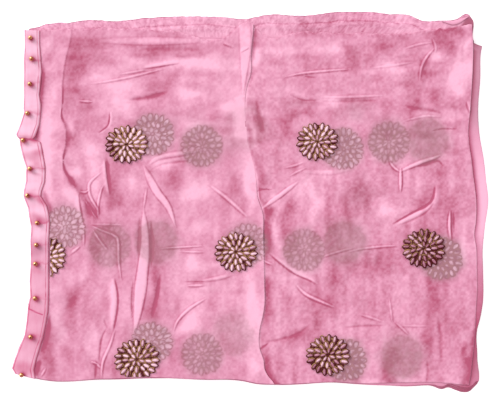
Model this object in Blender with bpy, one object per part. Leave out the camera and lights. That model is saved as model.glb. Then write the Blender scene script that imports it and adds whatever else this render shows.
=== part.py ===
"""A dupatta stole: one length of fine pink georgette, folded in eight and laid flat.

The cloth lies with its selvedges along the top edge (+Y) and a smooth fold along the
bottom edge. A satin ribbon with thirteen gold beads closes its left end (-X), and seven
embroidered rosettes lie on the top layer. Sizes in the tables are millimetres, measured
from the middle of the folded stole.
"""

import math
from collections import namedtuple

import bmesh
import bpy
import numpy as np

MM = 0.001

# The fold of the whole stole
STACK_HEIGHT = 9.0
SEAM_GAP = 0.3
CLOTH_WALL = 1.2
CLOTH_THINNEST = 1.0
CLOTH_THICKEST = 3.0
UPPERMOST = 239.0
LOWEST = -239.0

# The grid of the top layer
PANEL_ROWS = 44
PANEL_COLUMNS = (6, 1, 26, 1, 28)

# The grid round the hidden layers
STACK_ROWS = 22
STACK_COLUMNS = 56
LAYER_ROUNDING = 1.2
TOP_ROUNDING = 2.5
PUCKER_HEIGHT = 0.35
PUCKER_DEPTH = 0.5

EdgePoint = namedtuple("EdgePoint", "along across")
Layer = namedtuple("Layer", "left right top bottom corner_slip")
FoldRow = namedtuple("FoldRow", "y x rise")
Crease = namedtuple("Crease", "from_x from_y to_x to_y bow half_width height")
RibbonRow = namedtuple("RibbonRow", "left_x left_y right_x right_y lift")
Spot = namedtuple("Spot", "x y")
Rosette = namedtuple("Rosette", "x y half_width half_height turn")

# Upper edge of the hidden layers, the puckered selvedges: x along, y across
SELVEDGE = [
    EdgePoint(-283, 213), EdgePoint(-260, 218), EdgePoint(-236, 224), EdgePoint(-200, 228),
    EdgePoint(-170, 227), EdgePoint(-130, 230.5), EdgePoint(-71, 233), EdgePoint(-30, 232),
    EdgePoint(-8, 229.5), EdgePoint(21, 235), EdgePoint(65, 234), EdgePoint(110, 238),
    EdgePoint(150, 238.7), EdgePoint(174, 236), EdgePoint(201, 234), EdgePoint(213, 228.5),
    EdgePoint(240, 228), EdgePoint(257, 229), EdgePoint(274, 235), EdgePoint(280, 226),
    EdgePoint(291, 198),
]

# Lower edge of the hidden layers, the smooth fold: x along, y across
BOTTOM_FOLD = [
    EdgePoint(-297, -207), EdgePoint(-290, -211), EdgePoint(-282, -216), EdgePoint(-267, -220.5),
    EdgePoint(-253, -223), EdgePoint(-184, -221.5), EdgePoint(-119, -219.5), EdgePoint(-57, -222),
    EdgePoint(-10, -223), EdgePoint(10, -227), EdgePoint(31, -228), EdgePoint(110, -225.5),
    EdgePoint(142, -228), EdgePoint(190, -229.5), EdgePoint(229, -231), EdgePoint(241, -235),
    EdgePoint(249, -233), EdgePoint(258, -236), EdgePoint(267, -238.7), EdgePoint(277, -237),
    EdgePoint(283, -231),
]

# Right edge of the hidden layers, the crosswise folds: y along, x across
RIGHT_FOLD = [
    EdgePoint(-239, 274), EdgePoint(-235, 280), EdgePoint(-230, 283), EdgePoint(-194, 284),
    EdgePoint(-158, 284), EdgePoint(-147, 287), EdgePoint(-128, 290.5), EdgePoint(-83, 291),
    EdgePoint(-60, 290.5), EdgePoint(-32, 293), EdgePoint(4, 297.5), EdgePoint(27, 295),
    EdgePoint(54, 292), EdgePoint(86, 286.5), EdgePoint(110, 285), EdgePoint(158, 287.5),
    EdgePoint(190, 288.5), EdgePoint(196, 290), EdgePoint(201, 280), EdgePoint(226, 279),
    EdgePoint(239, 276),
]

# Cut end of the cloth, hidden under the ribbon: y along, x across
CUT_END = [
    EdgePoint(-239, -293), EdgePoint(-205, -292), EdgePoint(-176, -282), EdgePoint(-157, -276),
    EdgePoint(-116, -270), EdgePoint(-75, -269.5), EdgePoint(-30, -269.5), EdgePoint(-7, -273),
    EdgePoint(17, -278), EdgePoint(43, -275), EdgePoint(70, -281), EdgePoint(88, -284),
    EdgePoint(116, -278), EdgePoint(150, -278), EdgePoint(239, -278),
]

# Upper edge of the top layer, drawn back from the selvedges: x along, y across
PANEL_TOP = [
    EdgePoint(-283, 213), EdgePoint(-250, 216), EdgePoint(-150, 217.5), EdgePoint(-100, 215),
    EdgePoint(-19, 214.5), EdgePoint(-12, 222), EdgePoint(4, 223), EdgePoint(11, 214.5),
    EdgePoint(65, 214), EdgePoint(112, 212), EdgePoint(170, 210.5), EdgePoint(200, 212.5),
    EdgePoint(225, 215.5), EdgePoint(255, 219), EdgePoint(276, 223),
]

# Lower edge of the top layer, its smooth fold: x along, y across
PANEL_BOTTOM = [
    EdgePoint(-294, -206), EdgePoint(-284, -213), EdgePoint(-267, -219.5), EdgePoint(-253, -222),
    EdgePoint(-184, -220.5), EdgePoint(-119, -218.7), EdgePoint(-57, -221), EdgePoint(-10, -222),
    EdgePoint(10, -226), EdgePoint(31, -227), EdgePoint(110, -224.5), EdgePoint(142, -226),
    EdgePoint(190, -225), EdgePoint(237, -225), EdgePoint(268, -228),
]

# Right edge of the top layer, its crosswise fold: y along, x across
PANEL_RIGHT = [
    EdgePoint(-239, 267), EdgePoint(-197, 269), EdgePoint(-172, 271), EdgePoint(-147, 275),
    EdgePoint(-103, 279), EdgePoint(-59, 281), EdgePoint(-32, 280), EdgePoint(-27, 282.5),
    EdgePoint(-4, 284), EdgePoint(27, 280), EdgePoint(59, 275), EdgePoint(78, 272.5),
    EdgePoint(114, 274), EdgePoint(142, 276), EdgePoint(173, 276), EdgePoint(197, 277.5),
    EdgePoint(239, 275.5),
]

# Hidden layers from the surface up: how far each is drawn in on each side
HIDDEN_LAYERS = [
    Layer(2.0, 0.0, 2.5, 0.5, 0.0),
    Layer(1.0, 1.2, 1.0, 0.0, 2.0),
    Layer(1.5, 0.4, 1.8, 0.8, 4.5),
    Layer(1.2, 0.0, 0.0, 0.3, 7.0),
]
SLIP_START = 205.0
SLIP_END = 268.0

# Edge of the doubled cloth beside the ribbon, from the bottom up
BAND_FOLD = [
    FoldRow(-239, -214, 0.0), FoldRow(-100, -211, 0.0), FoldRow(-60, -205, 0.0),
    FoldRow(-32, -204, 0.3), FoldRow(-10, -212, 0.7), FoldRow(9, -213, 0.9),
    FoldRow(21, -224, 0.9), FoldRow(39, -233.5, 0.9), FoldRow(61, -235, 0.9),
    FoldRow(91, -235, 0.9), FoldRow(130, -236, 0.8), FoldRow(166, -233, 0.8),
    FoldRow(185, -228, 0.6), FoldRow(208, -226, 0.4), FoldRow(239, -226, 0.2),
]

# Lip of the middle fold, where the left half laps over the right, from the bottom up
MIDDLE_FOLD = [
    FoldRow(-239, 33, 0.6), FoldRow(-227, 31, 0.8), FoldRow(-199, 17.5, 1.2),
    FoldRow(-184, 11.5, 0.9), FoldRow(-161, 12, 1.0), FoldRow(-127, 18, 1.4),
    FoldRow(-100, 18, 1.4), FoldRow(-72, 17.5, 1.2), FoldRow(-32, 16.5, 1.5),
    FoldRow(-9, 16, 1.4), FoldRow(9, 8.5, 0.9), FoldRow(29, 8, 0.9), FoldRow(50, 4, 0.9),
    FoldRow(63, -1, 1.0), FoldRow(93, -4, 0.9), FoldRow(121, -6, 1.1), FoldRow(141, -4.5, 1.2),
    FoldRow(158, 2.5, 1.2), FoldRow(173, 3, 1.3), FoldRow(186, 6, 1.2), FoldRow(194, 2.5, 1.5),
    FoldRow(226, 7.5, 1.6), FoldRow(239, 8, 1.6),
]
LIP_WIDTH = 2.5
BAND_SWELL = 9.0
MIDDLE_SWELL = 14.0
MIDDLE_DIP = 0.5

# Largest creases of the top layer; a negative height is a trough
CREASES = [
    Crease(-127, 41, -90, -36, 2, 5, 1.4),
    Crease(-131, 5, -148, -165, 4, 7, 1.5),
    Crease(-119, -22, -121, -78, 0, 5, -0.2),
    Crease(-106, -88, -122, -147, -2, 6, -0.2),
    Crease(-165, -42, -162, -104, 3, 5, 1.0),
    Crease(-169, -95, -173, -157, -1, 5, -0.2),
    Crease(-171, -176, -185, -217, -2, 5, 1.2),
    Crease(-182, 40, -200, 8, 4, 5, 1.0),
    Crease(-182, 18, -191, -8, 0, 5, 0.8),
    Crease(-212, 145, -100, 159, 2, 5, 0.9),
    Crease(-125, 168, -74, 174, 0, 5, 0.7),
    Crease(-212, 203, -30, 205, 1, 6, 0.8),
    Crease(-185, 126, -102, 138, 0, 5, -0.2),
    Crease(37, 157, 126, 166, 2, 5, 0.9),
    Crease(49, 131, 166, 132, 3, 6, 0.8),
    Crease(62, 43, 180, 43, 0, 6, 1.2),
    Crease(180, 43, 238, 57, -2, 5, 1.4),
    Crease(176, 50, 187, 38, 0, 5, 1.2),
    Crease(187, 38, 186, 13, 0, 5, 1.2),
    Crease(232, 19, 178, -29, 7, 5, 1.0),
    Crease(116, -60, 184, -53, 1, 5, 0.8),
    Crease(249, -13, 248, -45, 0, 5, 1.2),
    Crease(58, 25, 20, -8, -2, 5, 1.1),
    Crease(-52, 23, -6, -17, 1, 5, 1.1),
    Crease(-109, -58, -50, -57, 2, 5, 0.8),
    Crease(57, -103, 103, -129, -3, 5, 1.1),
    Crease(-79, -104, -27, -88, 1, 5, 0.9),
    Crease(-53, -119, -96, -162, -4, 5, 1.2),
    Crease(142, -165, 228, -152, 3, 6, 0.7),
    Crease(-228, -67, -212, -54, 0, 5, 0.8),
]

# Rosettes of the top layer: A to G lie in a half-drop from the upper left
ROSETTES = [
    Rosette(-154, 72.5, 27.5, 24, 0),
    Rosette(84, 76, 26.5, 24, 9),
    Rosette(-17.5, -62, 27.5, 25, 4),
    Rosette(217, -57.5, 27.5, 25, 13),
    Rosette(-141, -196, 29.5, 26.5, 6),
    Rosette(97.5, -190.5, 28.5, 26.5, 2),
    Rosette(-255, -67, 26, 26, 11),
]
ROSETTE_AT_BOTTOM = 5
ROSETTE_AT_RIBBON = 7
BOTTOM_CUT_Y = -217.8
RIBBON_CUT_X = -249.3
ROSETTE_LIFT = 0.45
ROSETTE_BASE = 1.0
ROSETTE_FLAT_MARGIN = 4.0
ROSETTE_FADE = 14.0
ROSETTE_STEPS = 40
OUTER_PETALS = 20
MIDDLE_PETALS = 13
INNER_PETALS = 7
PETAL_HEIGHT = 0.9
BOSS_HEIGHT = 0.8
SCALLOP = 0.05
RosetteRing = namedtuple("RosetteRing", "share petals")
ROSETTE_RINGS = [
    RosetteRing(0.14, 0), RosetteRing(0.26, INNER_PETALS), RosetteRing(0.38, 0),
    RosetteRing(0.52, MIDDLE_PETALS), RosetteRing(0.66, 0), RosetteRing(0.84, OUTER_PETALS),
    RosetteRing(1.0, 0),
]

# Satin ribbon from its top end down; a row for each crosswise crease or straight stretch
RIBBON_ROWS = [
    RibbonRow(-282, 215.5, -262.5, 214.5, 0.0),
    RibbonRow(-281.5, 197, -262.5, 197, 0.1),
    RibbonRow(-282.5, 177, -261, 182, 0.7),
    RibbonRow(-282.5, 163, -260, 164.5, 0.2),
    RibbonRow(-282.5, 148, -261, 152, 0.8),
    RibbonRow(-282.5, 133, -263, 134.5, 0.2),
    RibbonRow(-283, 117, -261, 122, 0.5),
    RibbonRow(-282, 113, -261, 114.5, 0.9),
    RibbonRow(-287, 98, -262.5, 98, 0.8),
    RibbonRow(-292, 85, -267.5, 83, 1.6),
    RibbonRow(-291, 82.5, -270, 79, 1.3),
    RibbonRow(-288, 79, -261.5, 75.5, 0.1),
    RibbonRow(-287.5, 72, -260, 69.5, 0.2),
    RibbonRow(-285, 62, -259, 64.5, 0.9),
    RibbonRow(-282.5, 52, -257.5, 55.5, 0.1),
    RibbonRow(-279, 43, -255.5, 43.5, 1.0),
    RibbonRow(-280, 38, -255.5, 37, 0.3),
    RibbonRow(-280, 27, -256, 25.5, 0.5),
    RibbonRow(-282.5, 15.5, -260, 14.5, 0.4),
    RibbonRow(-283, 8, -261, 8, 1.0),
    RibbonRow(-277.5, -7, -254, -3, 0.2),
    RibbonRow(-276, -17, -251, -14.5, 0.9),
    RibbonRow(-273.5, -30.5, -250, -26, 0.4),
    RibbonRow(-274.5, -48, -251, -44.5, 0.3),
    RibbonRow(-274, -58, -251, -55.5, 0.9),
    RibbonRow(-274, -67, -251, -66, 0.3),
    RibbonRow(-274, -79.5, -251, -79.5, 0.8),
    RibbonRow(-275.5, -98, -251, -97, 0.1),
    RibbonRow(-274.5, -118, -251, -118, 0.7),
    RibbonRow(-277, -127, -252, -137, 0.9),
    RibbonRow(-279, -147, -255, -152, 0.2),
    RibbonRow(-281.5, -165.5, -258, -168, 0.8),
    RibbonRow(-287.5, -179.5, -262, -180.5, 0.3),
    RibbonRow(-294, -195.5, -267, -197, 0.4),
    RibbonRow(-297.5, -207, -269.5, -209, 0.2),
    RibbonRow(-293.5, -214, -268, -220.5, 0.0),
]
RIBBON_COLUMNS = 5
RIBBON_WALL = 1.0
RIBBON_SWELL = 0.4
RIBBON_CLEARANCE = 0.4

# Gold beads along the ribbon, from its top end down
BEADS = [
    Spot(-273.5, 205), Spot(-272, 179), Spot(-274, 147.5), Spot(-277, 111),
    Spot(-282.5, 77.5), Spot(-274, 42), Spot(-277, 8.5), Spot(-265, -25.5),
    Spot(-266, -53), Spot(-267, -76.5), Spot(-267.5, -119.5), Spot(-273, -167.5),
    Spot(-284.5, -215),
]
BEAD_RADIUS = 3.0
BEAD_SEGMENTS = 10
BEAD_RINGS = 6
BEAD_FOOT = 1.5

# Corner of the second layer that is turned over at the top right
TURNED_CORNER = [
    Spot(239.5, 226.5), Spot(249, 222.8), Spot(255, 221.8), Spot(263, 224.5),
    Spot(273.5, 232.5), Spot(265, 230.3), Spot(257, 227.7),
]

# Colours of the cloth, the ribbon, the beads and the embroidery
CHIFFON_PINK = (0.85, 0.33, 0.52)
CHIFFON_SHADE = (0.78, 0.29, 0.47)
SATIN_PINK = (0.95, 0.52, 0.70)
BEAD_GOLD = (0.75, 0.45, 0.16)
PETAL_LILAC = (0.55, 0.33, 0.42)


def smooth_edge(points):
    """Returns a function that gives an edge's place across for a place along it."""
    along = np.array([point[0] for point in points], float)
    across = np.array([point[1] for point in points], float)
    slopes = np.gradient(across, along)

    def edge(place):
        place = min(max(place, along[0]), along[-1])
        start = int(min(max(np.searchsorted(along, place) - 1, 0), len(along) - 2))
        width = along[start + 1] - along[start]
        share = (place - along[start]) / width
        rest = 1.0 - share
        level = across[start] * rest * rest * (1 + 2 * share)
        level += across[start + 1] * share * share * (1 + 2 * rest)
        level += slopes[start] * width * share * rest * rest
        level -= slopes[start + 1] * width * share * share * rest
        return float(level)

    return edge


def smooth_step(share):
    """Rises softly from 0 to 1 as share goes from 0 to 1."""
    share = min(max(share, 0.0), 1.0)
    return share * share * (3.0 - 2.0 * share)


def give_material(piece, name, colour, roughness, metallic=0.0):
    """Gives a piece its own material."""
    material = bpy.data.materials.new(name)
    material.use_nodes = True
    shader = material.node_tree.nodes["Principled BSDF"]
    shader.inputs["Base Color"].default_value = (*colour, 1.0)
    shader.inputs["Roughness"].default_value = roughness
    shader.inputs["Metallic"].default_value = metallic
    piece.data.materials.append(material)


def make_piece(name, shape, smooth_angle=40.0):
    """Turns a bmesh in millimetres into a named object in metres."""
    bmesh.ops.scale(shape, vec=(MM, MM, MM), verts=shape.verts)
    bmesh.ops.recalc_face_normals(shape, faces=shape.faces)
    mesh = bpy.data.meshes.new(name)
    shape.to_mesh(mesh)
    shape.free()
    mesh.shade_smooth()
    mesh.set_sharp_from_angle(angle=math.radians(smooth_angle))
    piece = bpy.data.objects.new(name, mesh)
    bpy.context.scene.collection.objects.link(piece)
    return piece


def join_rings(shape, lower, upper):
    """Fills the band between two closed rings of as many points."""
    for index, corner in enumerate(lower):
        following = (index + 1) % len(lower)
        shape.faces.new((corner, lower[following], upper[following], upper[index]))


def rosette_distance(rosette, x, y):
    """How far a point is from a rosette's middle, as a share of its half width."""
    across = (x - rosette.x) / rosette.half_width
    up = (y - rosette.y) / rosette.half_height
    return math.hypot(across, up)


def flatness_near_rosettes(x, y):
    """0 under a rosette, whose stiff embroidery keeps the cloth flat, and 1 away from it."""
    keep = 1.0
    for rosette in ROSETTES:
        outside = (rosette_distance(rosette, x, y) - 1.0) * rosette.half_width
        keep *= smooth_step((outside - ROSETTE_FLAT_MARGIN) / ROSETTE_FADE)
    return keep


def crease_height(crease, x, y):
    """Height of one crease at a point: soft across, and fading out at both ends."""
    length = math.hypot(crease.to_x - crease.from_x, crease.to_y - crease.from_y)
    along_x = (crease.to_x - crease.from_x) / length
    along_y = (crease.to_y - crease.from_y) / length
    share = ((x - crease.from_x) * along_x + (y - crease.from_y) * along_y) / length
    if not 0.0 < share < 1.0:
        return 0.0
    off = (y - crease.from_y) * along_x - (x - crease.from_x) * along_y
    off -= 4.0 * crease.bow * share * (1.0 - share)
    fade = 1.0 - (2.0 * share - 1.0) ** 4
    return crease.height * fade * math.exp(-((off / crease.half_width) ** 2))


def cloth_height(x, y, band_edge, band_rise, middle_edge, middle_rise):
    """Thickness of the top layer's wall at a point, with its folds and creases."""
    folds = 0.0
    past_band = x - band_edge(y)
    if past_band <= 0.0:
        folds += band_rise(y) * math.exp(past_band / BAND_SWELL)
    past_lip = x - middle_edge(y)
    if past_lip <= 0.0:
        folds += middle_rise(y) * math.exp(past_lip / MIDDLE_SWELL)
    else:
        folds -= MIDDLE_DIP * math.exp(-past_lip / MIDDLE_SWELL)
    folds += sum(crease_height(crease, x, y) for crease in CREASES)
    height = CLOTH_WALL + folds * flatness_near_rosettes(x, y)
    return min(max(height, CLOTH_THINNEST), CLOTH_THICKEST)


def make_top_panel():
    """The top layer: a wall with a flat inside and its folds raised in the outside."""
    left_edge = smooth_edge(CUT_END)
    right_edge = smooth_edge(PANEL_RIGHT)
    top_edge = smooth_edge(PANEL_TOP)
    bottom_edge = smooth_edge(PANEL_BOTTOM)
    band_edge = smooth_edge([(row.y, row.x) for row in BAND_FOLD])
    band_rise = smooth_edge([(row.y, row.rise) for row in BAND_FOLD])
    middle_edge = smooth_edge([(row.y, row.x) for row in MIDDLE_FOLD])
    middle_rise = smooth_edge([(row.y, row.rise) for row in MIDDLE_FOLD])
    shape = bmesh.new()
    underside = STACK_HEIGHT + SEAM_GAP
    grid = []
    for row in range(PANEL_ROWS + 1):
        up = row / PANEL_ROWS
        level = LOWEST + (UPPERMOST - LOWEST) * up
        guides = [
            left_edge(level),
            band_edge(level),
            band_edge(level) + LIP_WIDTH,
            middle_edge(level),
            middle_edge(level) + LIP_WIDTH,
            right_edge(level),
        ]
        places = [guides[0]]
        for start, end, columns in zip(guides, guides[1:], PANEL_COLUMNS):
            for column in range(1, columns + 1):
                places.append(start + (end - start) * column / columns)
        line = []
        for place in places:
            y = bottom_edge(place) + (top_edge(place) - bottom_edge(place)) * up
            thickness = cloth_height(
                place, y, band_edge, band_rise, middle_edge, middle_rise
            )
            if row in (0, PANEL_ROWS) or place in (places[0], places[-1]):
                thickness = CLOTH_THINNEST
            line.append(shape.verts.new((place, y, underside + thickness)))
        grid.append(line)
    for lower, upper in zip(grid, grid[1:]):
        for index in range(len(lower) - 1):
            shape.faces.new(
                (lower[index], lower[index + 1], upper[index + 1], upper[index])
            )
    rim = grid[0][:-1]
    rim += [line[-1] for line in grid[:-1]]
    rim += grid[-1][:0:-1]
    rim += [line[0] for line in grid[:0:-1]]
    inside = [shape.verts.new((point.co.x, point.co.y, underside)) for point in rim]
    join_rings(shape, inside, rim)
    shape.faces.new(inside[::-1])
    return make_piece("top_panel", shape)


def stack_ring(layer, inset):
    """Points of one ring round the hidden layers, drawn in by the layer's own amounts."""
    left_edge = smooth_edge(CUT_END)
    right_edge = smooth_edge(RIGHT_FOLD)
    top_edge = smooth_edge(SELVEDGE)
    bottom_edge = smooth_edge(BOTTOM_FOLD)

    def place(across, up):
        level = LOWEST + (UPPERMOST - LOWEST) * up
        start = left_edge(level) + layer.left + inset
        end = right_edge(level) - layer.right - inset
        x = start + (end - start) * across
        slip = layer.corner_slip * smooth_step((x - SLIP_START) / (SLIP_END - SLIP_START))
        low = bottom_edge(x) + layer.bottom + slip + inset
        high = top_edge(x) - layer.top - inset
        return x, low + (high - low) * up

    columns = [step / STACK_COLUMNS for step in range(STACK_COLUMNS)]
    rows = [step / STACK_ROWS for step in range(STACK_ROWS)]
    ring = [place(across, 0.0) for across in columns]
    ring += [place(1.0, up) for up in rows]
    ring += [place(1.0 - across, 1.0) for across in columns]
    ring += [place(0.0, 1.0 - up) for up in rows]
    return ring


def make_folded_layers():
    """The hidden layers as one rounded solid, with a lip round its edge for each layer."""
    shape = bmesh.new()
    layer_height = STACK_HEIGHT / len(HIDDEN_LAYERS)
    first_top_point = STACK_COLUMNS + STACK_ROWS
    rings = []

    def add_ring(points, height, pucker):
        ring = []
        for index, (x, y) in enumerate(points):
            along_top = 0 < index - first_top_point < STACK_COLUMNS
            wave = (-1) ** index if along_top and pucker else 0
            y -= PUCKER_DEPTH * (1 + wave) / 2 if along_top else 0.0
            ring.append(shape.verts.new((x, y, height + PUCKER_HEIGHT * wave)))
        rings.append(ring)

    add_ring(stack_ring(HIDDEN_LAYERS[0], LAYER_ROUNDING), 0.0, False)
    for number, layer in enumerate(HIDDEN_LAYERS):
        start = number * layer_height
        uppermost = number == len(HIDDEN_LAYERS) - 1
        add_ring(stack_ring(layer, 0.0), start + 0.25 * layer_height, False)
        add_ring(stack_ring(layer, 0.0), start + 0.75 * layer_height, uppermost)
        inset = TOP_ROUNDING if uppermost else LAYER_ROUNDING
        add_ring(stack_ring(layer, inset), start + layer_height, False)
    for lower, upper in zip(rings, rings[1:]):
        join_rings(shape, lower, upper)
    shape.faces.new(rings[0][::-1])
    shape.faces.new(rings[-1])
    return make_piece("folded_layers", shape)


def make_turned_corner():
    """The turned-over corner: one wall of cloth on the second layer."""
    shape = bmesh.new()
    low = STACK_HEIGHT + SEAM_GAP
    lower = [shape.verts.new((spot.x, spot.y, low)) for spot in TURNED_CORNER]
    upper = [shape.verts.new((spot.x, spot.y, low + CLOTH_WALL)) for spot in TURNED_CORNER]
    join_rings(shape, lower, upper)
    shape.faces.new(lower[::-1])
    shape.faces.new(upper)
    return make_piece("turned_corner", shape)


def make_end_ribbon():
    """The satin ribbon: a wall through its rows, lifted at each crosswise crease."""
    shape = bmesh.new()
    resting = STACK_HEIGHT + SEAM_GAP + CLOTH_WALL + RIBBON_CLEARANCE
    lower_grid = []
    upper_grid = []
    for row in RIBBON_ROWS:
        lower = []
        upper = []
        for column in range(RIBBON_COLUMNS + 1):
            across = column / RIBBON_COLUMNS
            x = row.left_x + (row.right_x - row.left_x) * across
            y = row.left_y + (row.right_y - row.left_y) * across
            swell = RIBBON_SWELL * math.sin(math.pi * across)
            z = resting + row.lift + swell
            lower.append(shape.verts.new((x, y, z)))
            upper.append(shape.verts.new((x, y, z + RIBBON_WALL)))
        lower_grid.append(lower)
        upper_grid.append(upper)
    for grid, flip in ((lower_grid, False), (upper_grid, True)):
        for first, second in zip(grid, grid[1:]):
            for index in range(RIBBON_COLUMNS):
                corners = (first[index], first[index + 1], second[index + 1], second[index])
                shape.faces.new(corners[::-1] if flip else corners)
    rims = []
    for grid in (lower_grid, upper_grid):
        rim = grid[0][:-1]
        rim += [line[-1] for line in grid[:-1]]
        rim += grid[-1][:0:-1]
        rim += [line[0] for line in grid[:0:-1]]
        rims.append(rim)
    join_rings(shape, rims[0], rims[1])
    return make_piece("end_ribbon", shape)


def ribbon_top(ribbon, x, y):
    """Highest point of the ribbon within a bead's foot of a place, in millimetres."""
    heights = []
    for step_x in (-1, 0, 1):
        for step_y in (-1, 0, 1):
            start = ((x + step_x * BEAD_FOOT) * MM, (y + step_y * BEAD_FOOT) * MM, 1.0)
            hit, place, _, _ = ribbon.ray_cast(start, (0, 0, -1))
            if hit:
                heights.append(place.z / MM)
    return max(heights)


def make_bead(number, spot, ribbon):
    """One round gold bead, sewn on the ribbon."""
    height = ribbon_top(ribbon, spot.x, spot.y) + SEAM_GAP + BEAD_RADIUS
    shape = bmesh.new()
    bmesh.ops.create_uvsphere(
        shape, u_segments=BEAD_SEGMENTS, v_segments=BEAD_RINGS, radius=BEAD_RADIUS
    )
    bmesh.ops.translate(shape, vec=(spot.x, spot.y, height), verts=shape.verts)
    return make_piece(f"bead_{number:02d}", shape, smooth_angle=80.0)


def cut_rosette(shape, point, outwards):
    """Cuts a rosette off flat at a line and closes the cut."""
    everything = shape.verts[:] + shape.edges[:] + shape.faces[:]
    bmesh.ops.bisect_plane(
        shape, geom=everything, plane_co=point, plane_no=outwards, clear_outer=True
    )
    open_edges = [edge for edge in shape.edges if edge.is_boundary]
    bmesh.ops.holes_fill(shape, edges=open_edges, sides=0)


def make_rosette(number, rosette):
    """One embroidered rosette: rings of raised petals on a stiff base."""
    shape = bmesh.new()
    low = STACK_HEIGHT + SEAM_GAP + CLOTH_WALL + ROSETTE_LIFT
    turn = math.radians(rosette.turn)
    rings = []
    for ring in ROSETTE_RINGS:
        points = []
        for step in range(ROSETTE_STEPS):
            angle = 2.0 * math.pi * step / ROSETTE_STEPS
            crest = (1.0 + math.cos(ring.petals * angle)) / 2.0 if ring.petals else 0.0
            height = low + ROSETTE_BASE + PETAL_HEIGHT * crest
            share = ring.share
            if ring is ROSETTE_RINGS[-1]:
                share -= SCALLOP * (1.0 - math.cos(OUTER_PETALS * angle)) / 2.0
            x = rosette.x + rosette.half_width * share * math.cos(angle + turn)
            y = rosette.y + rosette.half_height * share * math.sin(angle + turn)
            points.append(shape.verts.new((x, y, height)))
        rings.append(points)
    boss_height = low + ROSETTE_BASE + BOSS_HEIGHT
    boss = shape.verts.new((rosette.x, rosette.y, boss_height))
    for index, point in enumerate(rings[0]):
        shape.faces.new((boss, point, rings[0][(index + 1) % ROSETTE_STEPS]))
    for inner, outer in zip(rings, rings[1:]):
        join_rings(shape, outer, inner)
    base = [shape.verts.new((point.co.x, point.co.y, low)) for point in rings[-1]]
    join_rings(shape, base, rings[-1])
    shape.faces.new(base[::-1])
    if number == ROSETTE_AT_BOTTOM:
        cut_rosette(shape, (rosette.x, BOTTOM_CUT_Y, low), (0, -1, 0))
    if number == ROSETTE_AT_RIBBON:
        cut_rosette(shape, (RIBBON_CUT_X, rosette.y, low), (-1, 0, 0))
    return make_piece(f"rosette_{number:02d}", shape)


for old in list(bpy.data.objects):
    bpy.data.objects.remove(old, do_unlink=True)

hidden = make_folded_layers()
give_material(hidden, "chiffon_under", CHIFFON_SHADE, 0.8)
panel = make_top_panel()
give_material(panel, "chiffon", CHIFFON_PINK, 0.75)
corner = make_turned_corner()
give_material(corner, "chiffon_corner", CHIFFON_PINK, 0.75)
satin = make_end_ribbon()
give_material(satin, "satin", SATIN_PINK, 0.35)
bpy.context.view_layer.update()
for bead_number, bead_spot in enumerate(BEADS, start=1):
    bead = make_bead(bead_number, bead_spot, satin)
    give_material(bead, f"gold_{bead_number:02d}", BEAD_GOLD, 0.25, 1.0)
for rosette_number, rosette_spot in enumerate(ROSETTES, start=1):
    embroidery = make_rosette(rosette_number, rosette_spot)
    give_material(embroidery, f"embroidery_{rosette_number:02d}", PETAL_LILAC, 0.5)
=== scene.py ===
import math
from collections import namedtuple

import bmesh
import bpy
import numpy as np
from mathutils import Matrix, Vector


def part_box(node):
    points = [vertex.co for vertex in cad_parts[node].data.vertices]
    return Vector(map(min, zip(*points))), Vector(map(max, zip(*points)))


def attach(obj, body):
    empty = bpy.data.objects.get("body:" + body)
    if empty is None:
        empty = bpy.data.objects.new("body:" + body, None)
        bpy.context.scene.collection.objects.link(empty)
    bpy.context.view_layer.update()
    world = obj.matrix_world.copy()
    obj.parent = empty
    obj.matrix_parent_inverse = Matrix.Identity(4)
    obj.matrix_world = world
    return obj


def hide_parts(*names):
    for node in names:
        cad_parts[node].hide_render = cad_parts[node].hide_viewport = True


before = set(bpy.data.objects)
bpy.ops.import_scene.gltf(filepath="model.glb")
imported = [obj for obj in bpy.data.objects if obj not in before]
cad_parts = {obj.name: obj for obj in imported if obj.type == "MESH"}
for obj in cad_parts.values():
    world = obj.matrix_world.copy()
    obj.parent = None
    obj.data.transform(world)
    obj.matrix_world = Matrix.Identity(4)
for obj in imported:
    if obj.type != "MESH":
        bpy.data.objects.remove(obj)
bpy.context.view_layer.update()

# The seven layers under the top one: the same length of georgette, folded over itself.
# Its selvedges pucker along the upper side, and the smooth folds lie in a pile along the
# right and lower sides, where the lowest ones slip out at the corner.
MM = 0.001
PILE_TOP = 9.0
PILE_LOW = -239.0
PILE_HIGH = 239.0
PILE_ACROSS = 500
PILE_UP = 380
PILE_PASSES = 4
PILE_LIPS = 7
PILE_TONE = 0.1
PILE_DEEPER = 0.15
SIDE_SHARE = 0.015
END_SHARE = 0.01
LIP_SWELL = 0.65
# The rounded edges' tone, with painted shade where an edge is drawn in, under it and where it meets the
# next layer
LIP_TONE = 0.35
LIP_INNER_SHADE = 1.6
LIP_WANDER = 0.65
WANDER_SHIFT = 90.0
WANDER_SIZE = 38.0
WANDER_SEED = 11
RUFFLE_SIZE = 5.0
RUFFLE_SEED = 31
RUFFLE_SHIFT = 40.0
RUFFLE_RISE = 0.15
# A layer's rounded edge, from below: share of its height, and share of the swell it is drawn in
LIP_SHAPE = ((0.12, 0.75), (0.32, 0.12), (0.55, 0.0), (0.8, 0.2), (0.97, 0.85))
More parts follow.
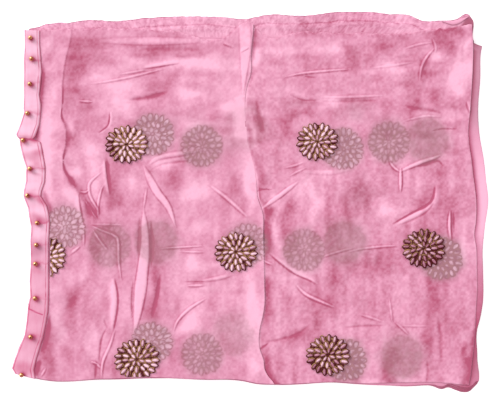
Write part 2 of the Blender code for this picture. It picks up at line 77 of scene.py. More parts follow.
# How far in from the edge the rings on the pile's upper face lie
SHELF_INSETS = (
    0.35, 0.9, 1.8, 3.0, 4.5, 6.0, 7.5, 9.0, 10.2, 11.0, 11.8, 12.8, 14.0, 15.5, 17.0, 18.5, 21.0, 26.0,
)
SELVEDGE_INSET = 11.2
SELVEDGE_RISE = 0.75
SELVEDGE_TONE = 0.35
SELVEDGE_LINE = 0.5
SELVEDGE_LINE_WIDTH = 0.9
LEDGE_WANDER = 1.5
LEDGE_WIDTH = 1.6
LEDGE_END = 19.5
LEDGE_FADE = 2.5
PUCKER_RISE = 0.22
PUCKER_LEAST = 0.45
PUCKER_SHIFT = 0.9
DULL_FROM = 40.0
DULL_TO = 175.0
DULL_FADE = 25.0
DULLNESS = 0.35
SLIP_FROM = 205.0
SLIP_TO = 268.0
FOLDS_FROM = 255.0
FOLDS_FADE = 12.0
FOLDS_SHADE_REACH = 4.5
# Random unevenness: strength, size in mm and seed, and for some the stretch along and across
LIP_MOTTLE = ((0.35, 60.0, 41), (0.2, 9.0, 51))
PUCKERS = ((1.0, 4.2, 72, 1.0, 0.35), (0.6, 2.1, 73, 1.0, 0.5))
SELVEDGE_GRAIN = ((0.4, 1.5, 75), (0.25, 4.0, 76))

# How far a layer is drawn in on each side, and how far it slips at the lower right corner
Draw = namedtuple("Draw", "left right top bottom slip")
LOWEST_DRAW = Draw(2.0, -0.9, 2.5, 0.5, 0.0)
HIGHEST_DRAW = Draw(1.2, -0.9, 0.0, 0.3, 7.0)

# Upper side, the selvedges: x along, y across
SELVEDGES = (
    (-283, 216), (-272, 218.5), (-262, 220.5), (-257, 223), (-250, 223.8), (-237, 225.5), (-230, 224.8),
    (-215, 226.8), (-205, 228.3), (-170, 227), (-130, 230.5), (-71, 233),
    (-30, 232), (-8, 229.5), (21, 235), (65, 234), (110, 238), (150, 238.7), (174, 236),
    (201, 234), (213, 228.5), (240, 228), (257, 229), (274, 235), (281, 226), (298, 226),
)
# Lower side, the smooth fold: x along, y across
LOWER_FOLD = (
    (-297, -207), (-290, -211), (-282, -216), (-267, -220.5), (-253, -223), (-184, -221.5),
    (-119, -219.5), (-57, -222), (-10, -223), (10, -227), (31, -228), (110, -225.5),
    (142, -228), (190, -229.5), (229, -231), (241, -235), (249, -233), (258, -236),
    (267, -238.7), (277, -237), (283, -231),
)
# Right side, the crosswise folds: y along, x across
RIGHT_FOLDS = (
    (-239, 274), (-235, 280), (-230, 283), (-194, 284), (-158, 284), (-147, 287), (-128, 290.5),
    (-83, 291), (-60, 290.5), (-32, 293), (4, 297.5), (27, 295), (54, 292), (86, 286.5),
    (110, 285), (158, 287.5), (190, 288.5), (195, 289.5), (197.5, 288), (199, 281), (202, 279.5),
    (226, 279), (239, 276),
)
# Right side of the layer on top of them: y along, x across
CLOTH_RIGHT = (
    (-239, 272.5), (-226, 274), (-216, 276), (-203, 277.5), (-191, 278.8), (-178, 280), (-159, 281.5),
    (-134, 282.5), (-109, 284), (-84, 283.5), (-59, 283), (-38, 280.5), (-27, 282), (-4, 283),
    (16, 281.5), (35, 279), (53, 277), (78, 273.5), (90, 273), (114, 275), (142, 277), (173, 278.5),
    (197, 279), (239, 276),
)
# Painted shade and light on the layers on the right: how dark they are in the shadow close beside the top
# one,
# and how light further out: y along
RIGHT_SHADE = (
    (-239, -0.6), (-216, -0.8), (-178, -1.1), (-159, -1.0), (-134, -0.6), (-84, -0.3), (-59, -0.2),
    (-34, -0.5), (-9, -0.6), (16, -0.9), (53, -1.0), (90, -0.8), (141, -1.1), (178, -1.1), (239, -0.8),
)
RIGHT_LIGHT = (
    (-239, -0.2), (-216, -0.4), (-178, -0.6), (-159, -0.7), (-134, -0.6), (-109, -0.5), (-84, -0.1),
    (-59, 0.3), (-34, 0.8), (-9, 0.9), (16, 0.9), (53, 0.6), (90, 0.2), (141, -0.1), (178, 0.0),
    (195, -0.3), (239, -0.3),
)
# Left side, the cut end under the ribbon: y along, x across
CUT_END = (
    (-239, -293), (-205, -292), (-176, -282), (-157, -276), (-116, -270), (-75, -269.5),
    (-30, -269.5), (-7, -273), (17, -278), (43, -275), (70, -281), (88, -284), (116, -278),
    (150, -278), (239, -278),
)

# Colour of the georgette, from the painted shade of its darkest folds to its lightest tone, which also
# carries the painted highlights
CLOTH_DARK = (0.38, 0.07, 0.14, 1)
CLOTH_MID = (0.60, 0.235, 0.355, 1)
CLOTH_LIGHT = (0.79, 0.39, 0.535, 1)
MAUVE_DARK = (0.28, 0.11, 0.155, 1)
MAUVE_LIGHT = (0.60, 0.35, 0.44, 1)
GHOST_COLOUR = (0.33, 0.15, 0.17, 1)
CLOTH_ROUGHNESS = 0.78
CLOTH_SHEEN = 0.25
CREPE_SCALE = 900.0
CREPE_STRENGTH = 0.35
MOTTLE_SCALE = 130.0
MOTTLE_STRENGTH = 0.42
LIGHT_GAIN = 1.25
DARK_GAIN = 1.12
WEAVE_DEPTH = 0.0008


def edge_through(points):
    """A smooth edge through given points: gives the place across for each place along."""
    along, across = np.array(points, float).T
    slopes = np.gradient(across, along)

    def edge(place):
        place = np.clip(place, along[0], along[-1])
        start = np.clip(np.searchsorted(along, place) - 1, 0, len(along) - 2)
        width = along[start + 1] - along[start]
        share = (place - along[start]) / width
        rest = 1.0 - share
        level = across[start] * rest * rest * (1 + 2 * share)
        level = level + across[start + 1] * share * share * (1 + 2 * rest)
        level = level + slopes[start] * width * share * rest * rest
        return level - slopes[start + 1] * width * share * share * rest

    return edge


def ease(share):
    """Rises softly from 0 to 1."""
    share = np.clip(share, 0.0, 1.0)
    return share * share * (3.0 - 2.0 * share)


def crumple(x, y, size, seed):
    """A smooth random height between -1 and 1, with bumps about size apart."""
    lattice = np.random.RandomState(seed).uniform(-1.0, 1.0, (256, 256))
    across, up = x / size, y / size
    column, row = np.floor(across).astype(int), np.floor(up).astype(int)
    right, above = ease(across - column), ease(up - row)
    column, row = column % 256, row % 256
    next_column, next_row = (column + 1) % 256, (row + 1) % 256
    low = lattice[row, column] * (1 - right) + lattice[row, next_column] * right
    high = lattice[next_row, column] * (1 - right) + lattice[next_row, next_column] * right
    return low * (1 - above) + high * above


def crumples(x, y, layers, more=0):
    """Random heights added up, from a table of strengths, sizes, seeds and stretches."""
    total = 0.0
    for strength, size, seed, *stretch in layers:
        along, across = stretch or (1.0, 1.0)
        total = total + strength * crumple(x * along, y * across, size, seed + more)
    return total


def peak(distance, reach):
    """1 on a line, and softly down to 0 beside it."""
    return np.exp(-((distance / reach) ** 2))


def build_piece(name, points, faces, marks):
    """A piece from points in millimetres and faces, with its painted marks on each point."""
    mesh = bpy.data.meshes.new(name)
    mesh.from_pydata((points * MM).tolist(), [], faces)
    for mark, values in marks.items():
        layer = mesh.attributes.new(mark, "FLOAT", "POINT")
        layer.data.foreach_set("value", np.ascontiguousarray(values, np.float32).ravel())
    piece = bpy.data.objects.new(name, mesh)
    bpy.context.scene.collection.objects.link(piece)
    return piece


def make_cloth(name, points, marks, closed=False):
    """A sheet through a grid of points. A closed one goes round and has a face at both ends."""
    rows, columns = points.shape[:2]
    index = np.arange(rows * columns).reshape(rows, columns)
    if closed:
        index = np.hstack([index, index[:, :1]])
    corners = (index[:-1, :-1], index[:-1, 1:], index[1:, 1:], index[1:, :-1])
    faces = np.stack([corner.ravel() for corner in corners], 1).tolist()
    if closed:
        faces.append(index[0, -1:0:-1].tolist())
        faces.append(index[-1, :-1].tolist())
    piece = build_piece(name, points.reshape(-1, 3), faces, marks)
    piece.data.shade_smooth()
    return piece


class Wire:
    """A socket of a material, with which sums are written as in Python."""

    def __init__(self, tree, socket):
        self.tree = tree
        self.socket = socket

    def sum(self, operation, *values):
        return add_node(self.tree, "ShaderNodeMath", {"operation": operation}, values)

    def __add__(self, other):
        return self.sum("ADD", self, other)

    def __radd__(self, other):
        return self.sum("ADD", other, self)

    def __sub__(self, other):
        return self.sum("SUBTRACT", self, other)

    def __rsub__(self, other):
        return self.sum("SUBTRACT", other, self)

    def __mul__(self, other):
        return self.sum("MULTIPLY", self, other)

    def __rmul__(self, other):
        return self.sum("MULTIPLY", other, self)

    def clamp(self, low=0.0, high=1.0):
        return self.sum("MINIMUM", self.sum("MAXIMUM", self, low), high)


def add_node(tree, kind, settings, inputs, output=0):
    """Adds one node, sets its settings first, and then gives its sockets values or links."""
    node = tree.nodes.new(kind)
    for key, value in settings.items():
        setattr(node, key, value)
    pairs = inputs.items() if isinstance(inputs, dict) else enumerate(inputs)
    for key, value in pairs:
        if isinstance(value, Wire):
            tree.links.new(value.socket, node.inputs[key])
        else:
            node.inputs[key].default_value = value
    return Wire(tree, node.outputs[output])


def mix_colours(tree, share, first, second):
    """Mixes two colours: the first at 0, the second at 1."""
    return add_node(tree, "ShaderNodeMix", {"data_type": "RGBA"}, {0: share, 6: first, 7: second}, 2)


def new_material(name, **constants):
    """A material whose shader has these constants; returns it, its tree and its shader."""
    material = bpy.data.materials.new(name)
    material.use_nodes = True
    tree = material.node_tree
    shader = tree.nodes["Principled BSDF"]
    for socket, value in constants.items():
        shader.inputs[socket.replace("_", " ")].default_value = value
    return material, tree, shader


def feed(tree, shader, **wires):
    """Links wires to the shader's sockets."""
    for socket, wire in wires.items():
        tree.links.new(wire.socket, shader.inputs[socket.replace("_", " ")])


def noise(tree, scale, stretch=(1, 1, 1), **more):
    """A random pattern on the piece's own coordinates, one unit to the metre."""
    place = add_node(tree, "ShaderNodeTexCoord", {}, {}, "Object")
    mapped = add_node(tree, "ShaderNodeMapping", {}, {"Vector": place, "Scale": stretch})
    return add_node(tree, "ShaderNodeTexNoise", {}, {"Vector": mapped, "Scale": scale, **more})


def painted(tree, mark):
    """A mark that is painted on the points of the piece."""
    return add_node(tree, "ShaderNodeAttribute", {"attribute_name": mark}, {}, "Fac")


def fine_relief(tree, height, strength, distance):
    """The small relief of threads, from a pattern."""
    sockets = {"Height": height, "Strength": strength, "Distance": distance}
    return add_node(tree, "ShaderNodeBump", {}, sockets)


def georgette(name, deeper=0.0):
    """Fine crinkled georgette: painted tones with the painted shade and highlights of its folds,
    show-through, mottling and a crepe grain.
    """
    material, tree, shader = new_material(
        name, Roughness=CLOTH_ROUGHNESS, Sheen_Weight=CLOTH_SHEEN, Sheen_Roughness=0.4,
        Specular_IOR_Level=0.25,
    )
    mottle = noise(tree, MOTTLE_SCALE, Detail=4.0, Roughness=0.65)
    grain = noise(tree, CREPE_SCALE, Detail=2.0, Roughness=0.6)
    uneven = (mottle - 0.5) * MOTTLE_STRENGTH + (grain - 0.5) * CREPE_STRENGTH
    # The painted tone holds the painted shade and highlights of folds and creases, besides the cloth's
    # own unevenness
    tone = painted(tree, "tone") + uneven - deeper
    lighter = mix_colours(tree, (tone * LIGHT_GAIN).clamp(), CLOTH_MID, CLOTH_LIGHT)
    shaded = mix_colours(tree, (0.0 - tone * DARK_GAIN).clamp(), lighter, CLOTH_DARK)
    grey = mix_colours(tree, (tone * 0.5 + 0.5).clamp(), MAUVE_DARK, MAUVE_LIGHT)
    greyed = mix_colours(tree, painted(tree, "mauve").clamp(), shaded, grey)
    seen_through = mix_colours(tree, painted(tree, "ghost").clamp(), greyed, GHOST_COLOUR)
    weave = fine_relief(tree, mottle * 0.5 + grain * 0.3, 0.35, WEAVE_DEPTH)
    feed(tree, shader, Base_Color=seen_through, Normal=weave)
    return material


across = np.arange(PILE_ACROSS) / PILE_ACROSS
up = np.arange(PILE_UP) / PILE_UP
ring_across = np.concatenate([across, np.ones(PILE_UP), 1 - across, np.zeros(PILE_UP)])
ring_up = np.concatenate([np.zeros(PILE_ACROSS), up, np.ones(PILE_ACROSS), 1 - up])
selvedge = edge_through(SELVEDGES)
lower_fold = edge_through(LOWER_FOLD)
right_folds = edge_through(RIGHT_FOLDS)
cut_end = edge_through(CUT_END)


def pile_ring(draw, inset):
    """One ring round the pile, drawn in by a layer's own amounts and by an inset."""
    level = PILE_LOW + (PILE_HIGH - PILE_LOW) * ring_up
    for passes in range(PILE_PASSES):
        start = cut_end(level) + draw.left + inset
        end = right_folds(level) - draw.right - inset
        x = start + (end - start) * ring_across
        slip = draw.slip * ease((x - SLIP_FROM) / (SLIP_TO - SLIP_FROM))
        low = lower_fold(x) + draw.bottom + slip + inset
        high = selvedge(x) - draw.top - inset
        level = low + (high - low) * ring_up
    return x, level


def draw_between(share):
    """How far a layer is drawn in, for its share of the way up the pile."""
    return Draw(*(low + (high - low) * share for low, high in zip(LOWEST_DRAW, HIGHEST_DRAW)))


upper_side = ease((ring_up - 1 + SIDE_SHARE) / SIDE_SHARE)
upper_side = upper_side * ease(ring_across / END_SHARE) * ease((1 - ring_across) / END_SHARE)
lower_side = ease((SIDE_SHARE - ring_up) / SIDE_SHARE)


def edge_ring(lip, rise, share_in):
    """One ring of points on a rounded edge of the pile, and how light it is, with painted shade where the
    edge is drawn in.
    """
    x, y = pile_ring(draw_between(lip / (PILE_LIPS - 1)), LIP_SWELL * share_in)
    wander = LIP_WANDER * (crumple(x + WANDER_SHIFT * lip, y, WANDER_SIZE, WANDER_SEED + lip) - 0.6)
    ruffle = upper_side * crumple(x, y + RUFFLE_SHIFT * lip, RUFFLE_SIZE, RUFFLE_SEED + lip)
    y = y + wander * (lower_side - upper_side) + 0.5 * PUCKER_SHIFT * (ruffle - 1.0) * upper_side
    x = x + np.minimum(wander, 0.0) * (ring_across - 0.5) * (1 - upper_side) * (1 - lower_side)
    z = (lip + rise) * PILE_TOP / PILE_LIPS + RUFFLE_RISE * ruffle
    return np.stack([x, y, z], 1), LIP_TONE - LIP_INNER_SHADE * share_in + crumples(x, y, LIP_MOTTLE, lip)


def face_ring(inset):
    """One ring of points on the pile's upper face, with the puckered selvedges, and its tone."""
    x, y = pile_ring(HIGHEST_DRAW, inset)
    level = PILE_TOP - 0.5 * max(0.0, 1.0 - inset / 2.0) ** 2
    ledge = ease((inset - SELVEDGE_INSET + LEDGE_WANDER * crumple(x, y * 0, 30.0, 71)) / LEDGE_WIDTH)
    ledge = SELVEDGE_RISE * ledge * ease((LEDGE_END - inset) / LEDGE_FADE)
    pucker = crumples(x, y, PUCKERS)
    wave = math.cos(math.pi * (inset % SELVEDGE_INSET) / SELVEDGE_INSET) ** 2
    strength = PUCKER_RISE * (PUCKER_LEAST + (1 - PUCKER_LEAST) * wave)
    z = level + upper_side * (ledge + strength * pucker)
    y = y + 0.4 * PUCKER_SHIFT * upper_side * pucker * max(0.0, 1.0 - inset / 4.0)
    line = inset - SELVEDGE_INSET + crumple(x, y * 0, 11.0, 74)
    line = SELVEDGE_LINE * peak(line, SELVEDGE_LINE_WIDTH)
    dull = DULLNESS * ease((x - DULL_FROM) / DULL_FADE) * ease((DULL_TO - x) / DULL_FADE)
    rough = 0.2 * pucker + crumples(x, y, SELVEDGE_GRAIN)
    return np.stack([x, y, z], 1), PILE_TONE + upper_side * (SELVEDGE_TONE - line - dull + rough)


rings = [edge_ring(lip, *place) for lip in range(PILE_LIPS) for place in LIP_SHAPE]
rings += [face_ring(inset) for inset in SHELF_INSETS]
pile_points, pile_tone = (np.stack(values) for values in zip(*rings))
x, y = pile_points[:, :, 0], pile_points[:, :, 1]
# Painted shade on the layers in the top layer's shadow close beside its right edge, lighter further out
beside_right = ease((x - FOLDS_FROM) / FOLDS_FADE) * (1 - upper_side)
past_top = np.maximum(x - edge_through(CLOTH_RIGHT)(y), 0.0)
close, further = edge_through(RIGHT_SHADE)(y), edge_through(RIGHT_LIGHT)(y)
fold_shade_and_light = further + (close - further) * peak(past_top, FOLDS_SHADE_REACH)
pile_marks = {
    "tone": pile_tone + beside_right * fold_shade_and_light,
    "mauve": 0.25 * np.maximum(crumple(x, y, 26.0, 81), 0) + 0.4 * beside_right * ease((y - 80.0) / 40.0),
    "ghost": 0 * x,
}
pile = make_cloth("lower_layers", pile_points, pile_marks, closed=True)
pile.data.materials.append(georgette("georgette_below", PILE_DEEPER))
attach(pile, "root")
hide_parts("folded_layers")

# The right half of the top layer: one thickness of georgette that comes out from under
# the middle fold and turns under along its three other sides. The embroidery and the
# pleats of the layers below show through it as soft mauve shapes.
CLOTH_LEVEL = 10.4
CLOTH_LOWEST = 9.45
CLOTH_CELL = 1.2
CLOTH_LENGTH = 440.0
CLOTH_LOW = -229.0
CLOTH_HIGH = 224.0
RIGHT_WIDTH = 282.0
RIGHT_PEBBLES = 1.6
FOLD_RADIUS = 0.55
FOLD_TURNS = (35.0, 75.0, 115.0, 155.0)
TUCK_UNDER = 9.0
TUCK_LEVEL = 9.75
TUCK_RELIEF = 0.15
LIP_SLOPE = 13.0
LIP_SLOPE_LEAST = 2.0
LIP_START = 4.0
# Painted light along the folds where the cloth rolls under, and how far it reaches past the middle fold
LIP_LIGHT = 0.7
LIP_LIGHT_REACH = 1.8
LINE_PIECES = 8
FLAT_MARGIN = 2.0
FLAT_FADE = 9.0
PUCKER_BAND = 7.0
CREASE_ENDS = 0.45
CREASE_NARROWEST = 0.5
# How strong the painted highlight on a crease's crest, the painted shade on its rim and the painted shade
# in a trough are
CREST_HIGHLIGHT = 2.1
RIM_SHADE = 2.3
TROUGH_SHADE = 1.8
PATCH_WANDER = 7.0
PATCH_WANDER_SIZE = 21.0
STREAKS_TURN = 20.0
STREAKS_FADE = 70.0
# Random unevenness: strength, size in mm and seed, and for some the stretch along and across
WAVES = ((0.28, 34.0, 101), (0.16, 13.0, 102))
CRINKLES = ((0.13, 5.0, 103, 1.0, 0.8), (0.085, 2.6, 104))
CLOUDS = ((0.12, 42.0, 104), (0.1, 16.0, 105, 1.0, 0.8), (0.14, 7.0, 106, 1.0, 0.5), (0.2, 2.6, 107))
STREAKS_ACROSS = ((0.22, 7.0, 112, 0.22, 1.0),)
STREAKS_UP = ((0.19, 7.0, 113, 1.0, 0.22),)
PUCKER_TONES = ((0.35, 1.6, 108), (0.2, 4.0, 109))
FRAYING = ((1.1, 7.0, 111), (0.7, 2.6, 112))

# Upper and lower side of the top layer: x along, y across
CLOTH_TOP = (
    (-283, 213), (-250, 216), (-150, 217.5), (-100, 215), (-19, 214.5), (-12, 222), (4, 223),
    (11, 214.5), (65, 214), (112, 212), (170, 210.5), (200, 212.5), (225, 215.5), (255, 219),
    (276, 223),
)
CLOTH_BOTTOM = (
    (-294, -206), (-284, -213), (-267, -219.5), (-253, -222), (-184, -220.5), (-119, -218.7),
    (-57, -221), (-10, -222), (10, -226), (31, -227), (110, -224.5), (142, -226), (190, -225),
    (237, -225), (268, -228),
)
# The middle fold, along which the left half laps over the right one: y along, x across
MIDDLE_FOLD = (
    (-239, 33), (-227, 29), (-219, 22.5), (-211, 18.5), (-199, 17), (-184, 12), (-161, 12), (-141, 16),
    (-127, 18), (-100, 18), (-72, 17.5), (-32, 16.5), (-9, 16), (9, 9.5), (29, 8), (50, 4), (63, -1),
    (93, -4), (121, -6), (141, -4.5), (158, 0.5), (170, 1.5), (178, 1), (188, 1.5), (205, 3), (226, 4.5),
    (239, 4.5),
)
# How dark the right half is in the shadow of the fold, and how far the shadow reaches
LIP_SHADE = (
    (-239, 1.3), (-213, 1.4), (-197, 0.95), (-178, 0.45), (-159, 0.55), (-141, 0.85), (-122, 0.9),
    (-103, 0.9), (-92, 0.3), (-84, 0.0), (-76, 0.2), (-66, 0.85), (-47, 1.25), (-28, 1.05), (-9, 0.4),
    (9, 0.5), (28, 0.4), (47, 0.45), (66, 0.3), (84, 0.45), (103, 0.7), (122, 0.1), (141, 0.1),
    (150, 0.3), (159, 0.7), (178, 0.6), (197, 0.9), (216, 0.9), (239, 1.2),
)
LIP_REACH = (
    (-239, 9.0), (-213, 9.0), (-197, 12.0), (-141, 12.0), (-122, 11.0), (-103, 9.0), (-84, 4.0),
    (-66, 6.0), (-47, 13.0), (-28, 12.0), (-9, 10.0), (9, 6.0), (28, 14.0), (47, 11.0), (66, 14.0),
    (84, 24.0), (103, 18.0), (122, 8.0), (141, 4.0), (159, 3.0), (178, 2.5), (197, 6.0), (216, 5.0),
    (239, 5.0),
)
# How dark the painted shade along the right margin of the top layer is, and how far in that reaches: y
# along
MARGIN_SHADE = (
    (-239, 0.7), (-216, 0.9), (-191, 1.0), (-178, 1.0), (-159, 0.8), (-140, 0.3), (-120, 0.0),
    (30, 0.0), (50, 0.2), (80, 0.3), (95, 0.1), (239, 0.0),
)
MARGIN_REACH = (
    (-239, 8.5), (-203, 8.5), (-191, 6.5), (-178, 4.5), (-159, 3.0), (-100, 2.0), (239, 2.0),
)
# How much of the middle fold's own slope shows: y along
FOLD_SHOWS = (
    (-239, 1.0), (-60, 1.0), (-9, 0.85), (20, 0.45), (45, 0.15), (70, 0.08), (110, 0.1), (135, 0.45),
    (165, 0.8), (239, 1.0),
)
# Creases by kind: half width, height and shade, the strength of the painted highlight on the crest and of
# the painted shade on the rim or in the trough, and then the points that each one runs through. A third
# number at a point is the half width there.
RIGHT_CREASES = {
    "ridge": (
        (1.5, 0.7, 0.42, (40, 156), (62, 161), (88, 164), (128, 167)),
        (1.8, 0.5, 0.25, (88, 132), (119, 132), (170, 134)),
        (1.4, 0.6, 0.3, (41, 43), (58, 47), (69, 52)),
        (1.4, 0.6, 0.3, (49, 33), (60, 39), (71, 44)),
        (3, 0.4, 0.15, (62, 39), (100, 38), (128, 42)),
        (2.6, 1.1, 0.5, (14, -8), (29, 3), (44, 14), (61, 27)),
        (1.4, 0.5, 0.4, (15, -72), (29, -78)),
        (2, 1, 0.55, (57, -102), (69, -114), (85, -122), (106, -131)),
        (1.5, 0.5, 0.3, (88, -69), (108, -62), (131, -56)),
        (1.5, 0.6, 0.35, (121, -62), (144, -57), (181, -54), (191, -58)),
        (1.5, 0.5, 0.25, (192, 192), (212, 198), (228, 200)),
        (1.8, 0.8, 0.4, (212, 151), (214, 168), (220, 181), (231, 194)),
        (1.6, 0.4, 0.2, (150, 168), (188, 173), (205, 176)),
        (1.5, 0.5, 0.25, (192, 102), (219, 108), (240, 107)),
        (2.4, 1.1, 0.5, (186, 38), (198, 44), (215, 51), (230, 56), (240, 60)),
        (1.6, 0.7, 0.5, (173, 53), (180, 44), (188, 38)),
        (1.9, 1.2, 0.7, (188, 12), (188, 28), (188, 44)),
        (1.9, 1.1, 0.75, (251, -48), (249, -29), (250, -9)),
        (1.5, 0.5, 0.3, (135, -139), (152, -144), (168, -150)),
        (1.3, 0.6, 0.4, (181, -149), (190, -157), (199, -166)),
        (1.5, 0.4, 0.2, (188, -154), (226, -154)),
        (1.3, 0.5, 0.3, (178, -151), (175, -128), (174, -118)),
        (1.6, 0.5, 0.4, (10, 20), (10, 9), (12, 1)),
        (1.6, 0.5, 0.3, (228, 206), (232, 195), (231, 186)),
    ),
    "trough": (
        (1.2, 0.4, 0.4, (65, 158), (84, 156)),
        (1.2, 0.4, 0.35, (45, 138), (56, 132), (68, 128), (89, 128)),
        (2.2, 0.4, 0.3, (90, 126), (125, 127), (162, 128)),
        (1.2, 0.4, 0.5, (5, 8), (12, 16), (29, 16)),
        (2.4, 0.4, 0.35, (15, -174), (28, -173), (45, -169), (62, -163), (76, -151)),
        (1.6, 0.4, 0.5, (9, -186), (24, -175)),
        (1.1, 0.4, 0.6, (226, 89), (239, 92), (259, 92)),
        (2, 0.6, 0.6, (208, 44), (222, 48), (235, 52), (242, 44)),
        (1.6, 0.5, 0.5, (170, 73), (173, 58), (176, 46)),
        (2, 0.7, 0.6, (231, 2), (221, -11), (202, -22), (183, -29)),
        (1.6, 0.5, 0.6, (255, -38), (254, -11)),
        (1.8, 0.4, 0.35, (118, -156), (144, -154), (168, -154)),
        (3.4, 0.5, 0.4, (239, -201), (238, -169), (235, -141)),
        (2, 0.4, 0.35, (220, -227), (222, -212), (221, -196)),
        (3.4, 0.4, 0.42, (8, 131), (9, 120), (12, 106), (15, 93), (16, 84)),
        (2.6, 0.4, 0.4, (188, 122), (205, 118), (222, 116), (243, 111)),
    ),
    "step": (
        (1.8, 0.8, 0.45, (24, -63), (38, -74), (56, -87), (75, -96), (85, -103)),
        (3, 1, 0.55, (233, 23), (231, 4), (222, -7), (202, -17), (178, -29)),
        (1.6, 0.7, 0.3, (271, 127), (276, 111)),
    ),
}
# Soft patches of painted shade and light in the cloth's hollows and swells, and where the layers below
# show: half sizes across and up, lightness, and for some how mauve and how far turned, in degrees
Patch = namedtuple("Patch", "x y across up tone mauve turn", defaults=(0, 0))
RIGHT_PATCHES = (
    (49, 92, 10, 22, -0.45), (98, 124, 14, 12, 0.75), (172, 170, 26, 9, 0.75), (200, 104, 10, 14, -0.45),
    (225, 208, 26, 10, -0.6), (252, 195, 8, 16, -0.5), (175, -6, 9, 14, 0.7), (248, -55, 9, 16, -0.4),
    (232, -33, 16, 8, -0.4), (150, -92, 12, 9, -0.4), (102, -92, 9, 12, -0.25), (72, -166, 12, 9, -0.5),
    (175, -222, 10, 8, -0.7), (225, -186, 9, 26, -0.45), (3, 98, 6, 24, 0.8),
    (240, -68, 22, 20, -0.55), (121, -197, 20, 20, -0.4), (116, 67, 20, 20, -0.3),
    (8, 178, 5, 9, 0.9), (26, -9, 7, 7, -0.7), (27, 12, 5, 7, 0.6), (20, -84, 10, 8, 0.3),
    (262, 100, 7, 9, -0.3), (268, -60, 8, 30, 0.4), (250, 214, 26, 10, -0.95), (243, 196, 12, 8, -0.7),
    (232, 211, 8, 8, -0.6), (261, 160, 13, 24, 0.75), (264, 141, 8, 10, 0.5),
    (130, 113, 20, 12, 0, 0.4), (60, 125, 26, 9, -0.35, 0.2), (75, 195, 20, 8, 0.3),
    (230, 186, 6, 8, 0.8), (215, 162, 7, 18, -0.4), (185, 207, 24, 7, -0.3), (274, 190, 6, 50, 0.35),
    (100, 190, 12, 7, 0.6), (35, 190, 22, 7, 0.4), (129, 181, 10, 14, -1), (160, 190, 26, 7, -0.3),
    (60, 168, 22, 14, -0.3), (225, 160, 11, 16, -0.35), (200, 150, 9, 12, -0.35),
    (200, 120, 11, 16, -0.6), (250, 145, 9, 22, 0.25), (225, 122, 9, 14, -0.4),
    (54, 106, 14, 13, -0.75), (75, 115, 12, 9, -0.35), (215, 90, 16, 12, -0.45, 0.1),
    (225, 41, 10, 9, -0.55), (65, 20, 22, 18, 0.45), (95, 32, 14, 8, 0.3), (80, -5, 8, 22, 0.4),
    (138, 8, 17, 20, -0.55, 0.25), (25, 0, 9, 8, 0.4), (34, -40, 6, 25, 0.45), (48, -8, 8, 14, -0.55),
    (50, -35, 9, 12, -0.4), (175, -14, 16, 9, 0.35, 0, 20), (225, -2, 12, 18, -0.65),
    (250, -5, 9, 20, -0.5), (100, -30, 9, 22, -0.6, 0.1), (122, -15, 9, 12, -0.5, 0.1),
    (100, -85, 10, 30, -0.6, 0.05), (140, -75, 34, 12, -0.45, 0.15), (50, -92, 12, 8, 0.4),
    (50, -110, 9, 8, 0.35), (80, -130, 12, 22, -0.6), (100, -128, 9, 12, -0.5),
    (224, -125, 8, 50, -0.65), (245, -82, 14, 14, -0.8), (55, -167, 12, 8, -0.5),
    (38, -200, 8, 10, -0.3), (150, -203, 9, 12, 0.2), (176, -205, 9, 22, -0.85),
    (125, -205, 10, 18, -0.6, 0.2), (250, -148, 9, 14, -0.4), (150, -222, 12, 5, 0.5),
    (200, -222, 12, 5, 0.4), (272, -185, 6, 30, -0.5), (150, 72, 60, 20, 0, 0.3),
)
# Embroidered flowers on the top layer: turn in degrees
Flower = namedtuple("Flower", "x y half_width half_height turn")
FLOWERS = (
    Flower(-154, 72.5, 27.5, 24, 0), Flower(84, 76, 26.5, 24, 9), Flower(-17.5, -62, 27.5, 25, 4),
    Flower(217, -57.5, 27.5, 25, 13), Flower(-141, -196, 29.5, 26.5, 6),
    Flower(97.5, -190.5, 28.5, 26.5, 2), Flower(-255, -67, 26, 26, 11),
)
# Flowers of the layers below that show through: turn in degrees, and blur from 1 for a sharp one
Ghost = namedtuple("Ghost", "x y strength turn blur")
GHOSTS = (
    (-121, 85, 1, 5, 1), (116, 67, 1, 12, 1), (-231.5, -30.5, 0.85, 3, 1), (-4, -52, 0.85, 8, 1.1),
    (239.5, -69.5, 1.45, 2, 1), (-123, -175.5, 0.95, 7, 1), (120, -197, 1.2, 0, 1.1),
    (-60.5, 70.5, 0.9, 4, 1.4), (174, 75.5, 0.85, 10, 1.5), (68, -59.5, 0.75, 5, 1.6),
    (-60, -189.5, 0.75, 1, 1.5), (-5.5, 94, 0.22, 3, 2.6), (221, 78, 0.6, 6, 2.7),
    (-175, -54, 0.55, 9, 2), (-117.5, -49.5, 0.5, 2, 2.6), (117.5, -49.5, 0.6, 2, 2.7),
    (-21, -165.5, 0.35, 6, 2.2), (190, -193, 0.55, 4, 2.7),
)
GHOST_RADIUS = 26.5
GHOST_REACH = 1.6
GHOST_GREYING = 0.95
GHOST_GLINT = 0.6
GHOST_LINE = 1.1
GHOST_RELIEF = 0.18
# Their rings of petals: number, distance, half length and half breadth, as shares of the radius
PETAL_ROWS = ((19, 0.82, 0.19, 0.11), (13, 0.5, 0.18, 0.1), (7, 0.22, 0.15, 0.085))


def points_along(points):
    """A smooth line through given points."""
    points = np.array(points, float)
    if len(points) < 3:
        return points
    ends = np.vstack([2 * points[0] - points[1], points, 2 * points[-1] - points[-2]])
    line = []
    for before, start, end, after in zip(ends, ends[1:], ends[2:], ends[3:]):
        for share in np.arange(LINE_PIECES) / LINE_PIECES:
            line.append(
                0.5 * (2 * start + (end - before) * share
                       + (2 * before - 5 * start + 4 * end - after) * share ** 2
                       + (3 * start - before - 3 * end + after) * share ** 3)
            )
    line.append(points[-1])
    return np.array(line)


